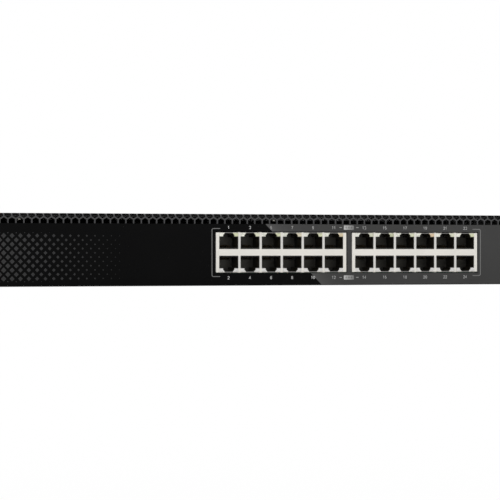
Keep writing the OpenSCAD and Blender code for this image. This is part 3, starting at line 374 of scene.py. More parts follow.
# ------------------------------------------------------------------ materials
# Settings of surface() for each material slot of the frame.
MATERIALS = {
    # painted sheet metal and the printed film
    "chassis_steel": dict(
        name="chassis_powder", base=(0.030, 0.031, 0.033), rough=0.52, rough_vary=0.07, spec=0.35,
        grain=1500, bump=0.35, depth_mm=0.06, edge=(0.10, 0.10, 0.105), wear=0.55),
    "cover_steel": dict(
        name="cover_powder", base=(0.027, 0.028, 0.030), rough_vary=0.07, spec=0.35,
        vary_scale=18, grain=1500, bump=0.35, depth_mm=0.06, edge=(0.10, 0.10, 0.105)),
    "bezel_paint": dict(
        name="bezel_satin", color=bezel_color, rough=0.46, rough_vary=0.05, spec=0.3, vary=0.06,
        grain=1300, bump=0.12, edge=(0.12, 0.12, 0.122), edge_mm=0.3),
    "overlay_print": dict(
        name="overlay_film", color=overlay_color, rough=0.6, rough_vary=0.05, spec=0.03,
        vary=0.05, vary_scale=25, grain=2200, depth_mm=0.02, edge=gray(0.02), edge_mm=0.25),
    "ear_steel": dict(
        name="ear_powder", base=(0.024, 0.025, 0.027), rough_vary=0.07, spec=0.35, grain=1500,
        bump=0.3, depth_mm=0.05, edge=(0.16, 0.16, 0.165), wear=0.65),
    # screws
    "black_screw": dict(
        name="black_zinc", base=(0.045, 0.045, 0.048), rough=0.34, rough_vary=0.08, metal=0.85,
        grain=1800, bump=0.12, edge=(0.30, 0.30, 0.31), wear=0.7, edge_mm=0.25),
    "zinc_screw": dict(
        name="bright_zinc", base=(0.60, 0.60, 0.58), alt=(0.66, 0.64, 0.57), rough=0.30,
        rough_vary=0.08, metal=1.0, grain=2000, bump=0.10, edge=(0.80, 0.80, 0.79),
        edge_mm=0.25),
    # jacks, lenses and the cage
    "jack_shield": dict(
        name="matt_nickel", color=shield_color, rough=0.55, rough_vary=0.05, metal=0.12, spec=0.3,
        vary=0.02, grain=700, brushed=(1, 1, 5), edge=(0.84, 0.82, 0.78), wear=0.4,
        edge_mm=0.15),
    "jack_plastic": dict(
        name="moulded_black", color=jack_color, rough=0.42, rough_vary=0.08, spec=0.35, vary=0.15,
        vary_scale=90, grain=1400, bump=0.10, edge=(0.07, 0.07, 0.067), wear=0.35,
        edge_mm=0.15),
    # the gold is darkened to a brown, painted shade for contacts that lie deep inside the jacks
    "gold_contact": dict(
        name="gold_flash", base=(0.36, 0.25, 0.10), rough=0.30, metal=1.0, vary=0.06, grain=2400,
        bump=0.06, edge=(0.50, 0.37, 0.18), wear=0.4, edge_mm=0.1),
    "lens_white": dict(
        name="lens_frosted", color=lens_color((0.757, 0.746, 0.724), (0.875, 0.88, 0.77)),
        rough=0.32, spec=0.4, vary=0.03, grain=1600, bump=0.10, edge=(0.9, 0.9, 0.86),
        edge_mm=0.2),
    "lens_green": dict(
        name="lens_tinted", color=lens_color((0.745, 0.73, 0.715), (0.66, 0.68, 0.455)),
        rough=0.32, spec=0.4, vary=0.03, grain=1600, bump=0.10, edge=(0.80, 0.82, 0.60),
        wear=0.4, edge_mm=0.2),
    "cage_steel": dict(
        name="cage_nickel", base=(0.58, 0.585, 0.59), rough=0.34, rough_vary=0.07, metal=0.9,
        vary=0.04, brushed=(1, 6, 1), bump=0.08, edge=gray(0.78), edge_mm=0.2),
    "spring_metal": dict(
        name="spring_bronze", base=(0.70, 0.62, 0.45), rough=0.30, metal=1.0, grain=1800,
        bump=0.08, edge=(0.86, 0.80, 0.66), edge_mm=0.1),
    "clear_light_pipe": dict(
        name="light_pipe", base=(0.74, 0.77, 0.78), rough=0.18, rough_vary=0.05, vary=0.03,
        grain=1500, transmission=0.45, edge=(0.92, 0.94, 0.94), edge_mm=0.2),
    "button_plastic": dict(
        name="button_gray", base=(0.07, 0.07, 0.072), rough=0.45, rough_vary=0.07, grain=1500,
        bump=0.12, edge=gray(0.14), edge_mm=0.2),
    "switch_plastic": dict(
        name="switch_black", base=gray(0.022), rough_vary=0.07, grain=1500, bump=0.12,
        edge=gray(0.07), edge_mm=0.2),
    # inlet, pins and studs
    "inlet_plastic": dict(
        name="inlet_black", base=(0.016, 0.016, 0.0165), rough=0.38, rough_vary=0.08, grain=1200,
        bump=0.18, edge=gray(0.06)),
    "pin_nickel": dict(
        name="pin_nickel", base=(0.70, 0.69, 0.66), rough=0.22, metal=1.0, grain=1500,
        brushed=(1, 8, 1), edge=(0.85, 0.84, 0.82), edge_mm=0.3),
    "stud_brass": dict(
        name="machined_brass", base=(0.68, 0.52, 0.26), rough=0.28, metal=1.0, grain=1500,
        brushed=(1, 1, 6), bump=0.12, edge=(0.86, 0.74, 0.46), edge_mm=0.2),
    # fans
    "fan_plastic": dict(
        name="fan_black", base=(0.020, 0.020, 0.021), rough=0.46, rough_vary=0.08, grain=1100,
        bump=0.22, edge=(0.065, 0.065, 0.066)),
    "rotor_plastic": dict(
        name="rotor_black", base=(0.026, 0.026, 0.028), rough=0.36, rough_vary=0.08, bump=0.10,
        edge=(0.075, 0.075, 0.078), edge_mm=0.3),
    "copper_winding": dict(
        name="enamelled_copper", base=(0.56, 0.22, 0.08), rough=0.30, metal=0.75, grain=1400,
        bump=0.6, depth_mm=0.3, extra_bump=turns("DIAGONAL", 420.0, depth=1.2),
        edge=(0.80, 0.45, 0.24), wear=0.4, edge_mm=0.2),
    "cable_red": dict(
        name="cable_red", base=(0.42, 0.022, 0.016), rough=0.40, vary=0.12, bump=0.15,
        edge=(0.55, 0.10, 0.08), edge_mm=0.2),
    # boards and what they carry
    "board_green": dict(
        name="solder_mask", rough=0.30, grain=1300, bump=0.25, coat=0.3, edge=(0.30, 0.28, 0.14),
        wear=0.6, edge_mm=0.3,
        color=board_color(base=(0.012, 0.085, 0.038), trace=(0.030, 0.180, 0.075),
                          pad=(0.62, 0.47, 0.20))),
    "board_tan": dict(
        name="phenolic_board", rough=0.45, rough_vary=0.07, vary=0.12, grain=1100, bump=0.25,
        edge=(0.50, 0.36, 0.18), edge_mm=0.3,
        color=board_color(base=(0.33, 0.20, 0.075), trace=(0.42, 0.29, 0.12),
                          pad=(0.60, 0.60, 0.58), pitch=3.0)),
    "chip_black": dict(
        name="mould_compound", base=(0.020, 0.020, 0.022), rough=0.52, rough_vary=0.08, vary=0.16,
        vary_scale=140, grain=1800, bump=0.25, speckle=0.12, edge=(0.07, 0.07, 0.072),
        edge_mm=0.2),
    "heatsink_dark": dict(
        name="dark_anodised", base=(0.045, 0.055, 0.065), rough=0.38, metal=0.6,
        brushed=(8, 1, 1), bump=0.18, edge=(0.26, 0.28, 0.30), wear=0.6, edge_mm=0.2),
    "heatsink_bright": dict(
        name="extruded_aluminium", base=(0.56, 0.58, 0.60), rough=0.32, metal=1.0,
        brushed=(8, 1, 1), bump=0.15, edge=(0.80, 0.81, 0.83), wear=0.6, edge_mm=0.2),
    "capacitor_sleeve": dict(
        name="sleeve_dark", rough=0.30, bump=0.10, coat=0.4, edge=(0.16, 0.17, 0.20), edge_mm=0.3,
        color=striped_color((0.026, 0.030, 0.046), (0.20, 0.21, 0.23), "DIAGONAL", 22.0,
                            start=0.86, end=0.9)),
    "capacitor_green": dict(
        name="sleeve_green", rough=0.30, bump=0.10, coat=0.4, edge=(0.16, 0.26, 0.18),
        edge_mm=0.3,
        color=striped_color((0.026, 0.080, 0.040), (0.45, 0.45, 0.35), "DIAGONAL", 26.0,
                            start=0.86, end=0.9)),
    "inductor_gray": dict(
        name="pressed_powder", base=(0.10, 0.105, 0.11), rough=0.60, rough_vary=0.08, grain=2000,
        bump=0.5, speckle=0.25, edge=(0.22, 0.22, 0.23), edge_mm=0.3),
    "connector_white": dict(
        name="natural_nylon", base=(0.74, 0.71, 0.63), rough=0.42, vary=0.05, bump=0.12,
        edge=(0.85, 0.83, 0.77), edge_mm=0.3),
    "insulator_sheet": dict(
        name="fish_paper", base=(0.64, 0.61, 0.48), rough=0.55, vary=0.06, grain=700, bump=0.3,
        edge=(0.74, 0.72, 0.62), edge_mm=0.2),
    "transformer_tape": dict(
        name="wound_tape", rough=0.34, bump=0.5, depth_mm=0.2, edge=(0.30, 0.24, 0.14),
        extra_bump=turns("Z", 70.0, depth=1.4),
        color=striped_color((0.60, 0.41, 0.05), (0.46, 0.30, 0.03), "Z", 70.0)),
    "film_yellow": dict(
        name="film_box", base=(0.66, 0.43, 0.035), rough=0.34, vary=0.07, bump=0.12,
        edge=(0.80, 0.62, 0.20)),
    # cables
    "cable_brown": dict(
        name="cable_brown", base=(0.19, 0.085, 0.038), rough=0.42, bump=0.15,
        edge=(0.30, 0.17, 0.10), edge_mm=0.2),
    "cable_gray": dict(
        name="cable_gray", base=gray(0.38), rough=0.42, bump=0.15, edge=gray(0.50), edge_mm=0.2),
}


@cache
def material(slot):
    return surface(**MATERIALS[slot])


for node_name, part in NODES.items():
    part.data.materials.clear()
    part.data.materials.append(material(SLOTS[node_name]))


# ------------------------------------------------------------------ mesh building
def circle(x, y, radius, count):
    return [(x + radius * math.cos(math.tau * i / count),
             y + radius * math.sin(math.tau * i / count)) for i in range(count)]


class Solid:
    """Closed shapes gathered into one mesh, in millimetres."""

    def __init__(self):
        self.points, self.faces = [], []

    def loft(self, rings):
        """Joins rings of equal length into a closed skin."""
        count, base = len(rings[0]), len(self.points)
        for ring in rings:
            self.points += ring
        for k in range(len(rings) - 1):
            near, far = base + k * count, base + (k + 1) * count
            for i in range(count):
                j = (i + 1) % count
                self.faces.append((near + i, near + j, far + j, far + i))
        last = base + (len(rings) - 1) * count
        self.faces.append(tuple(base + i for i in reversed(range(count))))
        self.faces.append(tuple(last + i for i in range(count)))

    def plate_y(self, outline, span_y):
        """An outline in X and Z, drawn out along Y."""
        self.loft([[(x, y, z) for x, z in outline] for y in span_y])

    def disc_y(self, x, z, radii, levels):
        """Rings about an axis along Y."""
        self.loft([[(px, y, pz) for px, pz in circle(x, z, radius, 48)]
                   for radius, y in zip(radii, levels)])

    def disc_z(self, x, y, radii, levels):
        """Rings about an upright axis."""
        self.loft([[(px, py, z) for px, py in circle(x, y, radius, 32)]
                   for radius, z in zip(radii, levels)])

    def ribbon(self, points, width, span_y):
        """A line of the given width through points in X and Z, mitred at its bends."""
        points = [Vector(point) for point in points]
        steps = [(end - start).normalized() for start, end in zip(points, points[1:])]
        left, right = [], []
        for point, before, after in zip(points, steps[:1] + steps, steps + steps[-1:]):
            normal = Vector((-before.y, before.x))
            mitre = normal + Vector((-after.y, after.x))
            mitre = mitre.normalized() if mitre.length > 1e-6 else normal
            # the limit stops a sharp bend from growing a long spike
            offset = mitre * (width / 2 / max(0.45, mitre.dot(normal)))
            left.append(point + offset)
            right.append(point - offset)
        base, count = len(self.points), len(points)
        for y in span_y:
            self.points += [(point.x, y, point.y) for point in left + right]
        back = base + 2 * count
        for i in range(count - 1):
            j, k, m = i + 1, count + i, count + i + 1
            self.faces.append((base + i, base + j, base + m, base + k))
            self.faces.append((back + i, back + k, back + m, back + j))
            self.faces.append((base + i, back + i, back + j, base + j))
            self.faces.append((base + k, base + m, back + m, back + k))
        for i, j in ((0, count), (count - 1, 2 * count - 1)):
            self.faces.append((base + i, base + j, back + j, back + i))

    def package(self, span_x, span_y, span_z, cut, draft=0.0):
        """A moulded package: cut corners, chamfered top, upper sides drawn in by draft."""
        bottom, top = span_z

        def ring(inset, z):
            left, right = span_x[0] + inset, span_x[1] - inset
            front, back = span_y[0] + inset, span_y[1] - inset
            return [(left + cut, front, z), (right - cut, front, z),
                    (right, front + cut, z), (right, back - cut, z),
                    (right - cut, back, z), (left + cut, back, z),
                    (left, back - cut, z), (left, front + cut, z)]

        self.loft([ring(0, bottom), ring(0, bottom + 0.45 * (top - bottom)),
                   ring(draft, top - cut * 0.8), ring(draft + cut * 0.8, top)])

    def hoop(self, centre, first, second, radii, half_width):
        """A closed band round an oval in the plane of two unit axes."""
        around_count, band_count = 28, 8
        centre, first, second = Vector(centre), Vector(first), Vector(second)
        side = first.cross(second)
        base = len(self.points)
        for i in range(around_count):
            angle = math.tau * i / around_count
            cos, sin = math.cos(angle), math.sin(angle)
            point = centre + first * radii[0] * cos + second * radii[1] * sin
            out = (first * cos * radii[1] + second * sin * radii[0]).normalized()
            for k in range(band_count):
                turn = math.tau * k / band_count
                self.points.append(tuple(point + out * 0.45 * half_width * math.cos(turn)
                                         + side * half_width * math.sin(turn)))
        for i in range(around_count):
            here = base + i * band_count
            beyond = base + (i + 1) % around_count * band_count
            for k in range(band_count):
                j = (k + 1) % band_count
                self.faces.append((here + k, beyond + k, beyond + j, here + j))

    def make(self, name, finish, slot, body="chassis", smooth=False):
        """Builds the object; it rides on a body of the frame and takes the finish as its material;
        the slot argument is not used.
        """
        mesh = bpy.data.meshes.new(name)
        mesh.from_pydata([(x * MM, y * MM, z * MM) for x, y, z in self.points], [], self.faces)
        work = bmesh.new()
        work.from_mesh(mesh)
        bmesh.ops.recalc_face_normals(work, faces=work.faces)
        work.to_mesh(mesh)
        work.free()
        for face in mesh.polygons:
            face.use_smooth = smooth
        built = bpy.data.objects.new(name, mesh)
        bpy.context.scene.collection.objects.link(built)
        built.data.materials.append(finish)
        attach(built, body)


# ------------------------------------------------------------------ printed graphics
OVERLAY_LOW = mm_box("faceplate_overlay")[0]
INK_FRONT = OVERLAY_LOW.y - 0.02
INK = (INK_FRONT, OVERLAY_LOW.y + 0.005)    # the print stands just proud of the faceplate
NUMERAL_Z = (35.7, 4.85)                    # above the upper row, below the lower row
BRACKET_Z = (35.05, 5.65)
LEGEND_X = 54.91                            # between the two jack blocks
LEGEND_Z = (35.92, 4.80)


def ink(name, base=None, edge=None, vary=0.05, vary_scale=120, color=None):
    return surface(name, base=base, edge=edge or tint(base, 0.7), color=color, vary=vary,
                   vary_scale=vary_scale, rough=0.62, rough_vary=0.05, spec=0.05, grain=2600,
                   bump=0.10, depth_mm=0.01, wear=0.4, edge_mm=0.06)


def halftone_color(graph):
    """The diamonds get a little darker as they shrink."""
    fade = graph.ramp(graph.axis(0), -0.150, -0.095, low=1.0, high=0.75, smooth=False)
    return graph.combine(graph.multiply(fade, k) for k in (0.0425, 0.0425, 0.0430))


def legend_color(strength):
    """Print that fades from left to right over a legend box."""

    def run(graph):
        return graph.combine(
            graph.multiply(graph.ramp(graph.axis(0), 0.0517, 0.0584, low=0.50 * strength,
                                      high=0.185 * strength, smooth=False), k)
            for k in (1.0, 1.0, 0.985))

    return run


def print_halftone():
    """Diamonds on the black side, shrinking to the right."""
    pitch_x, pitch_z = 5.144, 5.132
    first_x, top_z = -167.36, 30.46
    tips = {-1: (32.4, 1), 11: (2.85, -1)}  # row: base line, direction of the tip in Z
    diamonds = Solid()
    for row in range(-1, 12):
        z = top_z - row * pitch_z / 2
        for k in range(-12, 18):
            x = first_x + pitch_x * (k + 0.5 * (row % 2))
            if x < OVERLAY_LOW.x + 2.2 or x > -88:
                continue
            size = min(1.72, 1.66 - (x + 167.5) * 0.0190)
            if size < 0.25:
                continue
            if row not in tips:
                diamonds.plate_y([(x - size, z), (x, z - size), (x + size, z), (x, z + size)], INK)
            elif x < -138:
                # only a small triangle of each outermost diamond shows
                base, way = tips[row]
                half = min(0.6, 0.50 - (x + 160) * 0.014)
                diamonds.plate_y([(x - way * half, base), (x, base - way * 1.4 * half),
                                  (x + way * half, base)], INK)
    finish = ink("ink_halftone", edge=gray(0.03), vary=0.06, vary_scale=150, color=halftone_color)
    diamonds.make("print_halftone", finish, slot="overlay_print")


# Strokes of each numeral: x, z from its lower left corner, 1.6 mm tall
GLYPHS = {
    "0": [[(0.5, 1.6), (0.2, 1.5), (0.03, 1.15), (0.03, 0.45), (0.2, 0.1), (0.5, 0),
           (0.8, 0.1), (0.97, 0.45), (0.97, 1.15), (0.8, 1.5), (0.5, 1.6)]],
    "1": [[(0.12, 1.28), (0.52, 1.6), (0.52, 0)]],
    "2": [[(0.03, 1.22), (0.12, 1.47), (0.38, 1.6), (0.66, 1.6), (0.9, 1.46), (0.97, 1.18),
           (0.86, 0.9), (0.05, 0.0), (1.0, 0.0)]],
    "3": [[(0.05, 1.4), (0.3, 1.6), (0.66, 1.6), (0.9, 1.45), (0.93, 1.12), (0.75, 0.9),
           (0.42, 0.86)],
          [(0.42, 0.86), (0.78, 0.8), (0.97, 0.52), (0.93, 0.18), (0.66, 0), (0.3, 0),
           (0.04, 0.2)]],
    "4": [[(0.72, 0), (0.72, 1.6), (0.02, 0.46), (1.02, 0.46)]],
    "5": [[(0.9, 1.6), (0.14, 1.6), (0.08, 0.86), (0.4, 1.0), (0.75, 0.93), (0.97, 0.62),
           (0.93, 0.25), (0.68, 0), (0.3, 0), (0.04, 0.18)]],
    "6": [[(0.88, 1.42), (0.6, 1.6), (0.3, 1.5), (0.06, 1.1), (0.03, 0.5), (0.2, 0.1),
           (0.5, 0), (0.82, 0.1), (0.97, 0.45), (0.85, 0.82), (0.52, 0.96), (0.2, 0.84),
           (0.05, 0.58)]],
    "7": [[(0.02, 1.6), (0.98, 1.6), (0.62, 0.9), (0.42, 0)]],
    "8": [[(0.5, 0.86), (0.2, 0.98), (0.1, 1.25), (0.25, 1.52), (0.5, 1.6), (0.75, 1.52),
           (0.9, 1.25), (0.8, 0.98), (0.5, 0.86)],
          [(0.5, 0.86), (0.15, 0.72), (0.03, 0.42), (0.18, 0.1), (0.5, 0), (0.82, 0.1),
           (0.97, 0.42), (0.85, 0.72), (0.5, 0.86)]],
    "9": [[(0.12, 0.18), (0.4, 0), (0.7, 0.1), (0.94, 0.5), (0.97, 1.1), (0.8, 1.5),
           (0.5, 1.6), (0.18, 1.5), (0.03, 1.15), (0.15, 0.78), (0.48, 0.64), (0.8, 0.76),
           (0.95, 1.02)]],
}


def number(solid, value, middle_x, middle_z):
    advance, gap, half_height, stroke = 1.38, 0.38, 0.8, 0.33
    text = str(value)
    left = middle_x - (len(text) * advance - gap) / 2
    for digit in text:
        for line in GLYPHS[digit]:
            points = [(left + x, middle_z + (z - half_height)) for x, z in line]
            solid.ribbon(points, stroke, INK)
        left += advance


def print_numerals():
    """Odd numbers above the ports and even ones below, counted from the left."""
    on_black, on_gray = Solid(), Solid()
    for block, shield in enumerate(SHIELDS):
        low, high = mm_box(shield)
        for i in range(JACK_COLUMNS):
            x = (low.x + high.x) / 2 + (i - 2.5) * JACK_PITCH - 0.15
            for row, z in enumerate(NUMERAL_Z):
                side = on_gray if x + z > SPLIT_SUM else on_black
                number(side, 2 * (JACK_COLUMNS * block + i) + 1 + row, x, z)
    low, high = mm_box("sfp_cage")
    for i in range(2):
        for row, z in enumerate(NUMERAL_Z):
            number(on_gray, 25 + 2 * i + row, low.x + (high.x - low.x) * (0.27 + 0.46 * i), z)
    on_black.make("print_numerals_black", ink("ink_light", (0.56, 0.56, 0.555)),
                  slot="overlay_print")
    on_gray.make("print_numerals_gray", ink("ink_numeral_gray", (0.37, 0.37, 0.365)),
                 slot="overlay_print")


def arc(x, z, radius, start, end, steps=6):
    angles = [math.radians(start + (end - start) * i / steps) for i in range(steps + 1)]
    return [(x + radius * math.cos(angle), z + radius * math.sin(angle)) for angle in angles]


def print_bracket(name, finish, edge_x, inward, reach):
    """A bracket round one end of the jacks; inward is +1 or -1 along X."""
    radius, (top, bottom) = 1.0, BRACKET_Z
    middle_x, tip_x = edge_x + inward * radius, edge_x + inward * reach
    side_angle = 90 + inward * 90
    line = Solid()
    line.ribbon([(tip_x, top)]
                + arc(middle_x, top - radius, radius, 90, side_angle)
                + arc(middle_x, bottom + radius, radius, side_angle, 90 + inward * 180)
                + [(tip_x, bottom)], 0.48, INK)
    line.make(name, finish, slot="overlay_print")


def rounded(left, right, bottom, top, radius, steps=5):
    return (arc(right - radius, top - radius, radius, 90, 0, steps)
            + arc(right - radius, bottom + radius, radius, 0, -90, steps)
            + arc(left + radius, bottom + radius, radius, -90, -180, steps)
            + arc(left + radius, top - radius, radius, 180, 90, steps))


def print_legends():
    """Plain boxes between the blocks, each with three socket pictograms and two dashes."""
    socket = ((-0.6, -0.62), (0.6, -0.62), (0.6, 0.28), (0.28, 0.28),  # x, z from its middle
              (0.28, 0.68), (-0.28, 0.68), (-0.28, 0.28), (-0.6, 0.28))
    boxes, sockets, dashes = Solid(), Solid(), Solid()
    for z in LEGEND_Z:
        boxes.plate_y(rounded(LEGEND_X - 3.4, LEGEND_X + 3.4, z - 1.38, z + 1.30, 0.4), INK)
        for shift in (-1.75, 0.0, 1.75):
            sockets.plate_y([(LEGEND_X + shift + dx, z + dz) for dx, dz in socket],
                            (INK_FRONT - 0.01, INK_FRONT + 0.004))
        for x in (LEGEND_X - 5.55, LEGEND_X + 5.75):
            dashes.plate_y(rounded(x - 0.85, x + 0.85, z - 0.24, z + 0.24, 0.1, steps=2), INK)
    label_ink = ink("ink_label", edge=(0.22, 0.22, 0.215), vary=0.06, vary_scale=300,
                    color=legend_color(1.0))
    dark_ink = ink("ink_dark", edge=(0.12, 0.12, 0.118), vary=0.06, vary_scale=300,
                   color=legend_color(0.62))
    dash_ink = ink("ink_dash", (0.30, 0.30, 0.295))
    boxes.make("print_legend_boxes", label_ink, slot="overlay_print")
    sockets.make("print_legend_pictograms", dark_ink, slot="overlay_print")
    dashes.make("print_legend_dashes", dash_ink, slot="overlay_print")


print_halftone()
print_numerals()
print_bracket("print_bracket_left", ink("ink_gray", (0.175, 0.175, 0.172)),
              mm_box(SHIELDS[0])[0].x - 2.68, inward=1, reach=5.3)
print_bracket("print_bracket_right", ink("ink_bracket_right", (0.205, 0.205, 0.202)),
              mm_box(SHIELDS[1])[1].x + 2.27, inward=-1, reach=5.5)
print_legends()

# ------------------------------------------------------------------ board detail
BOARD_TOP = mm_box("main_pcb")[1].z


def islands(node):
    """Boxes of the separate solids of a node that rise above the board."""
    work = bmesh.new()
    work.from_mesh(NODES[node].data)
    bmesh.ops.remove_doubles(work, verts=work.verts, dist=1e-6)
    seen, found = set(), []
    for start in work.verts:
        if start in seen:
            continue
        stack, group = [start], []
        seen.add(start)
        while stack:
            vertex = stack.pop()
            group.append(vertex.co / MM)
            for edge in vertex.link_edges:
                other = edge.other_vert(vertex)
                if other not in seen:
                    seen.add(other)
                    stack.append(other)
        low, high = [Vector([pick(point[i] for point in group) for i in range(3)])
                     for pick in (min, max)]
        if high.z > BOARD_TOP:
            found.append((low, high))
    work.free()
    return found


# low and high corners of what already stands on the board
taken = [mm_box(node) for node in (
    "switch_asic", "asic_heatsink", "processor", *SHIELDS, "sfp_cage", "console_usb_shield",
    "reset_switch", "status_light_pipes")]
for node in ("phy_chips", "phy_heatsinks", "memory_chips", "main_capacitors", "power_inductors",
             "board_connectors", "board_screws"):
    taken += islands(node)


def around(middle, half, margin=0.0):
    return middle - half - margin, middle + half + margin


def free(span_x, span_y, gap):
    return all(span_x[1] + gap < low[0] or span_x[0] - gap > high[0]
               or span_y[1] + gap < low[1] or span_y[0] - gap > high[1] for low, high in taken)


def claim(span_x, span_y):
    taken.append((Vector((span_x[0], span_y[0])), Vector((span_x[1], span_y[1]))))


passives, ends, chips, leads = Solid(), Solid(), Solid(), Solid()
PASSIVE_SIZES = ((1.6, 0.8, 0.55), (2.0, 1.2, 0.8))     # length, width, height


def passive(x, y, along_x, length=1.6, width=0.8, height=0.55):
    """A small two-ended part with metal ends, left out where the board is taken."""
    size_x, size_y = (length, width) if along_x else (width, length)
    footprint = around(x, size_x / 2), around(y, size_y / 2)
    if not free(*footprint, gap=0.5):
        return
    claim(*footprint)
    end = 0.25 * length
    middle, across = (x, y) if along_x else (y, x)

    def place(solid, span_long, span_wide, height, cut):
        spans = (span_long, span_wide) if along_x else (span_wide, span_long)
        solid.package(*spans, (BOARD_TOP, BOARD_TOP + height), cut)

    place(passives, (middle - length / 2 + end, middle + length / 2 - end),
          around(across, width / 2), height, cut=0.06)
    for side in (-1, 1):
        span = sorted((middle + side * length / 2, middle + side * (length / 2 - end)))
        place(ends, span, around(across, width / 2, 0.02), height + 0.03, cut=0.05)


def small_chip(x, y, size_x, size_y, pins, along_x):
    """A small chip with leads on two sides, left out where the board is taken."""
    if not free(around(x, size_x / 2, 1.4), around(y, size_y / 2, 1.4), gap=0.4):
        return
    claim(around(x, size_x / 2, 1.2), around(y, size_y / 2, 1.2))
    chips.package(around(x, size_x / 2), around(y, size_y / 2),
                  (BOARD_TOP + 0.12, BOARD_TOP + 1.5), cut=0.22, draft=0.15)
    spans = (x, size_x, y, size_y) if along_x else (y, size_y, x, size_x)
    along, length, across, width = spans
    for i in range(pins):
        pin = around(along + (-length / 2 + length * (i + 0.5) / pins), 0.17)
        for side in (-1, 1):
            reach = sorted((across + side * width / 2, across + side * (width / 2 + 0.9)))
            leads.package(*((pin, reach) if along_x else (reach, pin)),
                          (BOARD_TOP, BOARD_TOP + 0.28), cut=0.05)


# x, y, size in x, size in y, pins per side, leads in rows along x
SMALL_CHIPS = (
    (130, 30, 8, 6, 10, True), (20, 64, 5, 4, 4, True), (-60, 60, 7, 7, 8, False),
    (-40, 100, 10, 5, 8, True), (-70, 115, 6, 5, 4, True), (136, 120, 8, 8, 10, True),
    (190, 60, 6, 5, 4, False), (192, 90, 9, 6, 8, True), (96, 64, 5, 4, 4, True),
    (-20, 78, 6, 6, 6, True), (60, 124, 6, 5, 6, True), (175, 125, 7, 5, 7, True),
    (-50, 30, 8, 6, 10, True), (75, 30, 5, 4, 4, True), (22, 30, 5, 4, 4, True),
)
# x, y of the first part, then the count along x and along y
PASSIVE_GROUPS = (
    (-104, 30, 5, 4), (-90, 48, 6, 3), (-66, 80, 5, 4), (-30, 118, 7, 3), (0, 60, 4, 6),
    (18, 104, 4, 3), (34, 120, 5, 3), (84, 118, 4, 4), (90, 40, 5, 4), (128, 44, 6, 3),
    (130, 96, 3, 6), (160, 100, 4, 5), (184, 70, 4, 4), (196, 110, 4, 6), (150, 130, 7, 3),
    (-78, 132, 8, 3), (30, 40, 4, 4), (-34, 52, 5, 4), (203, 40, 3, 7), (150, 54, 5, 2),
)
for row in SMALL_CHIPS:
    small_chip(*row)

# staggered rows of small parts round the two large chips
for low, high in (mm_box("switch_asic"), mm_box("processor")):
    for i in range(26):
        x = low.x + i / 25 * (high.x - low.x)
        y = low.y + i / 25 * (high.y - low.y)
        stagger = (i % 2) * 2.0
        passive(low.x - 3 - stagger, y, True)
        passive(high.x + 3 + stagger, y, True)
        passive(x, low.y - 3 - stagger, False)
        passive(x, high.y + 3 + stagger, False)

for first_x, first_y, count_x, count_y in PASSIVE_GROUPS:
    for i in range(count_x):
        for j in range(count_y):
            passive(first_x + i * 2.7 + random.uniform(-0.05, 0.05), first_y + j * 1.9, True,
                    *random.choice(PASSIVE_SIZES))

passives.make("board_passives", surface(
    "ceramic_brown", base=(0.22, 0.15, 0.09), alt=(0.05, 0.05, 0.055), rough=0.4, rough_vary=0.07,
    vary=0.35, vary_scale=500, grain=1600, bump=0.2, edge=(0.4, 0.3, 0.2), edge_mm=0.08),
    slot="chip_black")
ends.make("board_passive_ends", surface(
    "solder_tin", base=(0.68, 0.69, 0.70), rough=0.28, rough_vary=0.07, metal=1.0, grain=1800,
    bump=0.2, edge=(0.85, 0.85, 0.86), edge_mm=0.06), slot="pin_nickel")
chips.make("board_small_chips", material("chip_black"), slot="chip_black")


def stations(low, high, inset, count):
    return [low + inset + (high - low - 2 * inset) * i / (count - 1) for i in range(count)]


def lead_spans(low, high, reach):
    """Spans of the leads that leave the two opposite sides of a chip."""
    return (low - reach, low + 0.02), (high - 0.02, high + reach)


# leads on all four sides of the processor
low, high = mm_box("processor")
lead_z = (BOARD_TOP, BOARD_TOP + 0.3)
for x, y in zip(stations(low.x, high.x, 0.8, 22), stations(low.y, high.y, 0.8, 22)):
    for span in lead_spans(low.y, high.y, 1.1):
        leads.package(around(x, 0.16), span, lead_z, cut=0.05)
    for span in lead_spans(low.x, high.x, 1.1):
        leads.package(span, around(y, 0.16), lead_z, cut=0.05)

# leads on the left and right of the longer memory chips
lead_z = (BOARD_TOP, BOARD_TOP + 0.25)
for low, high in islands("memory_chips"):
    if high.y - low.y > 10:
        for y in stations(low.y, high.y, 0.6, 14):
            for span in lead_spans(low.x, high.x, 0.9):
                leads.package(span, around(y, 0.15), lead_z, cut=0.05)
leads.make("chip_leads", surface(
    "lead_tin", base=(0.62, 0.63, 0.64), rough=0.3, rough_vary=0.07, metal=1.0, grain=1800,
    bump=0.15, edge=(0.8, 0.8, 0.81), edge_mm=0.06), slot="pin_nickel")


def capacitor_tops():
    """Bare metal discs on the capacitors, each with three crossed score lines drawn as thin dark
    strips of painted shadow.
    """
    tops, scores = Solid(), Solid()
    for node in ("main_capacitors", "psu_output_capacitors", "psu_bulk_capacitor"):
        for low, high in islands(node):
            x, y, radius = (low.x + high.x) / 2, (low.y + high.y) / 2, (high.x - low.x) / 2
            tops.disc_z(x, y, (0.84 * radius, 0.84 * radius, 0.80 * radius),
                        (high.z - 0.01, high.z + 0.03, high.z + 0.06))
            half, length = 0.035 * radius, 0.62 * radius
            corners = ((-length, -half), (length, -half), (length, half), (-length, half))
            for i in range(3):
                cos, sin = math.cos(i * math.pi / 3), math.sin(i * math.pi / 3)
                scores.loft([[(x + cos * along - sin * across, y + sin * along + cos * across,
                               high.z + lift) for along, across in corners]
                             for lift in (0.055, 0.085)])
    tops.make("capacitor_tops", surface(
        "can_aluminium", base=(0.60, 0.61, 0.62), rough=0.32, metal=1.0, grain=1400, bump=0.1,
        edge=(0.78, 0.78, 0.79), edge_mm=0.1), slot="capacitor_sleeve")
    # the dark strips are painted shadow where the scored grooves would be
    scores.make("capacitor_scores", surface(
        "score_shadow", base=(0.12, 0.12, 0.125), metal=0.4, grain=1400, bump=0.1,
        edge=gray(0.2), edge_mm=0.1), slot="capacitor_sleeve")


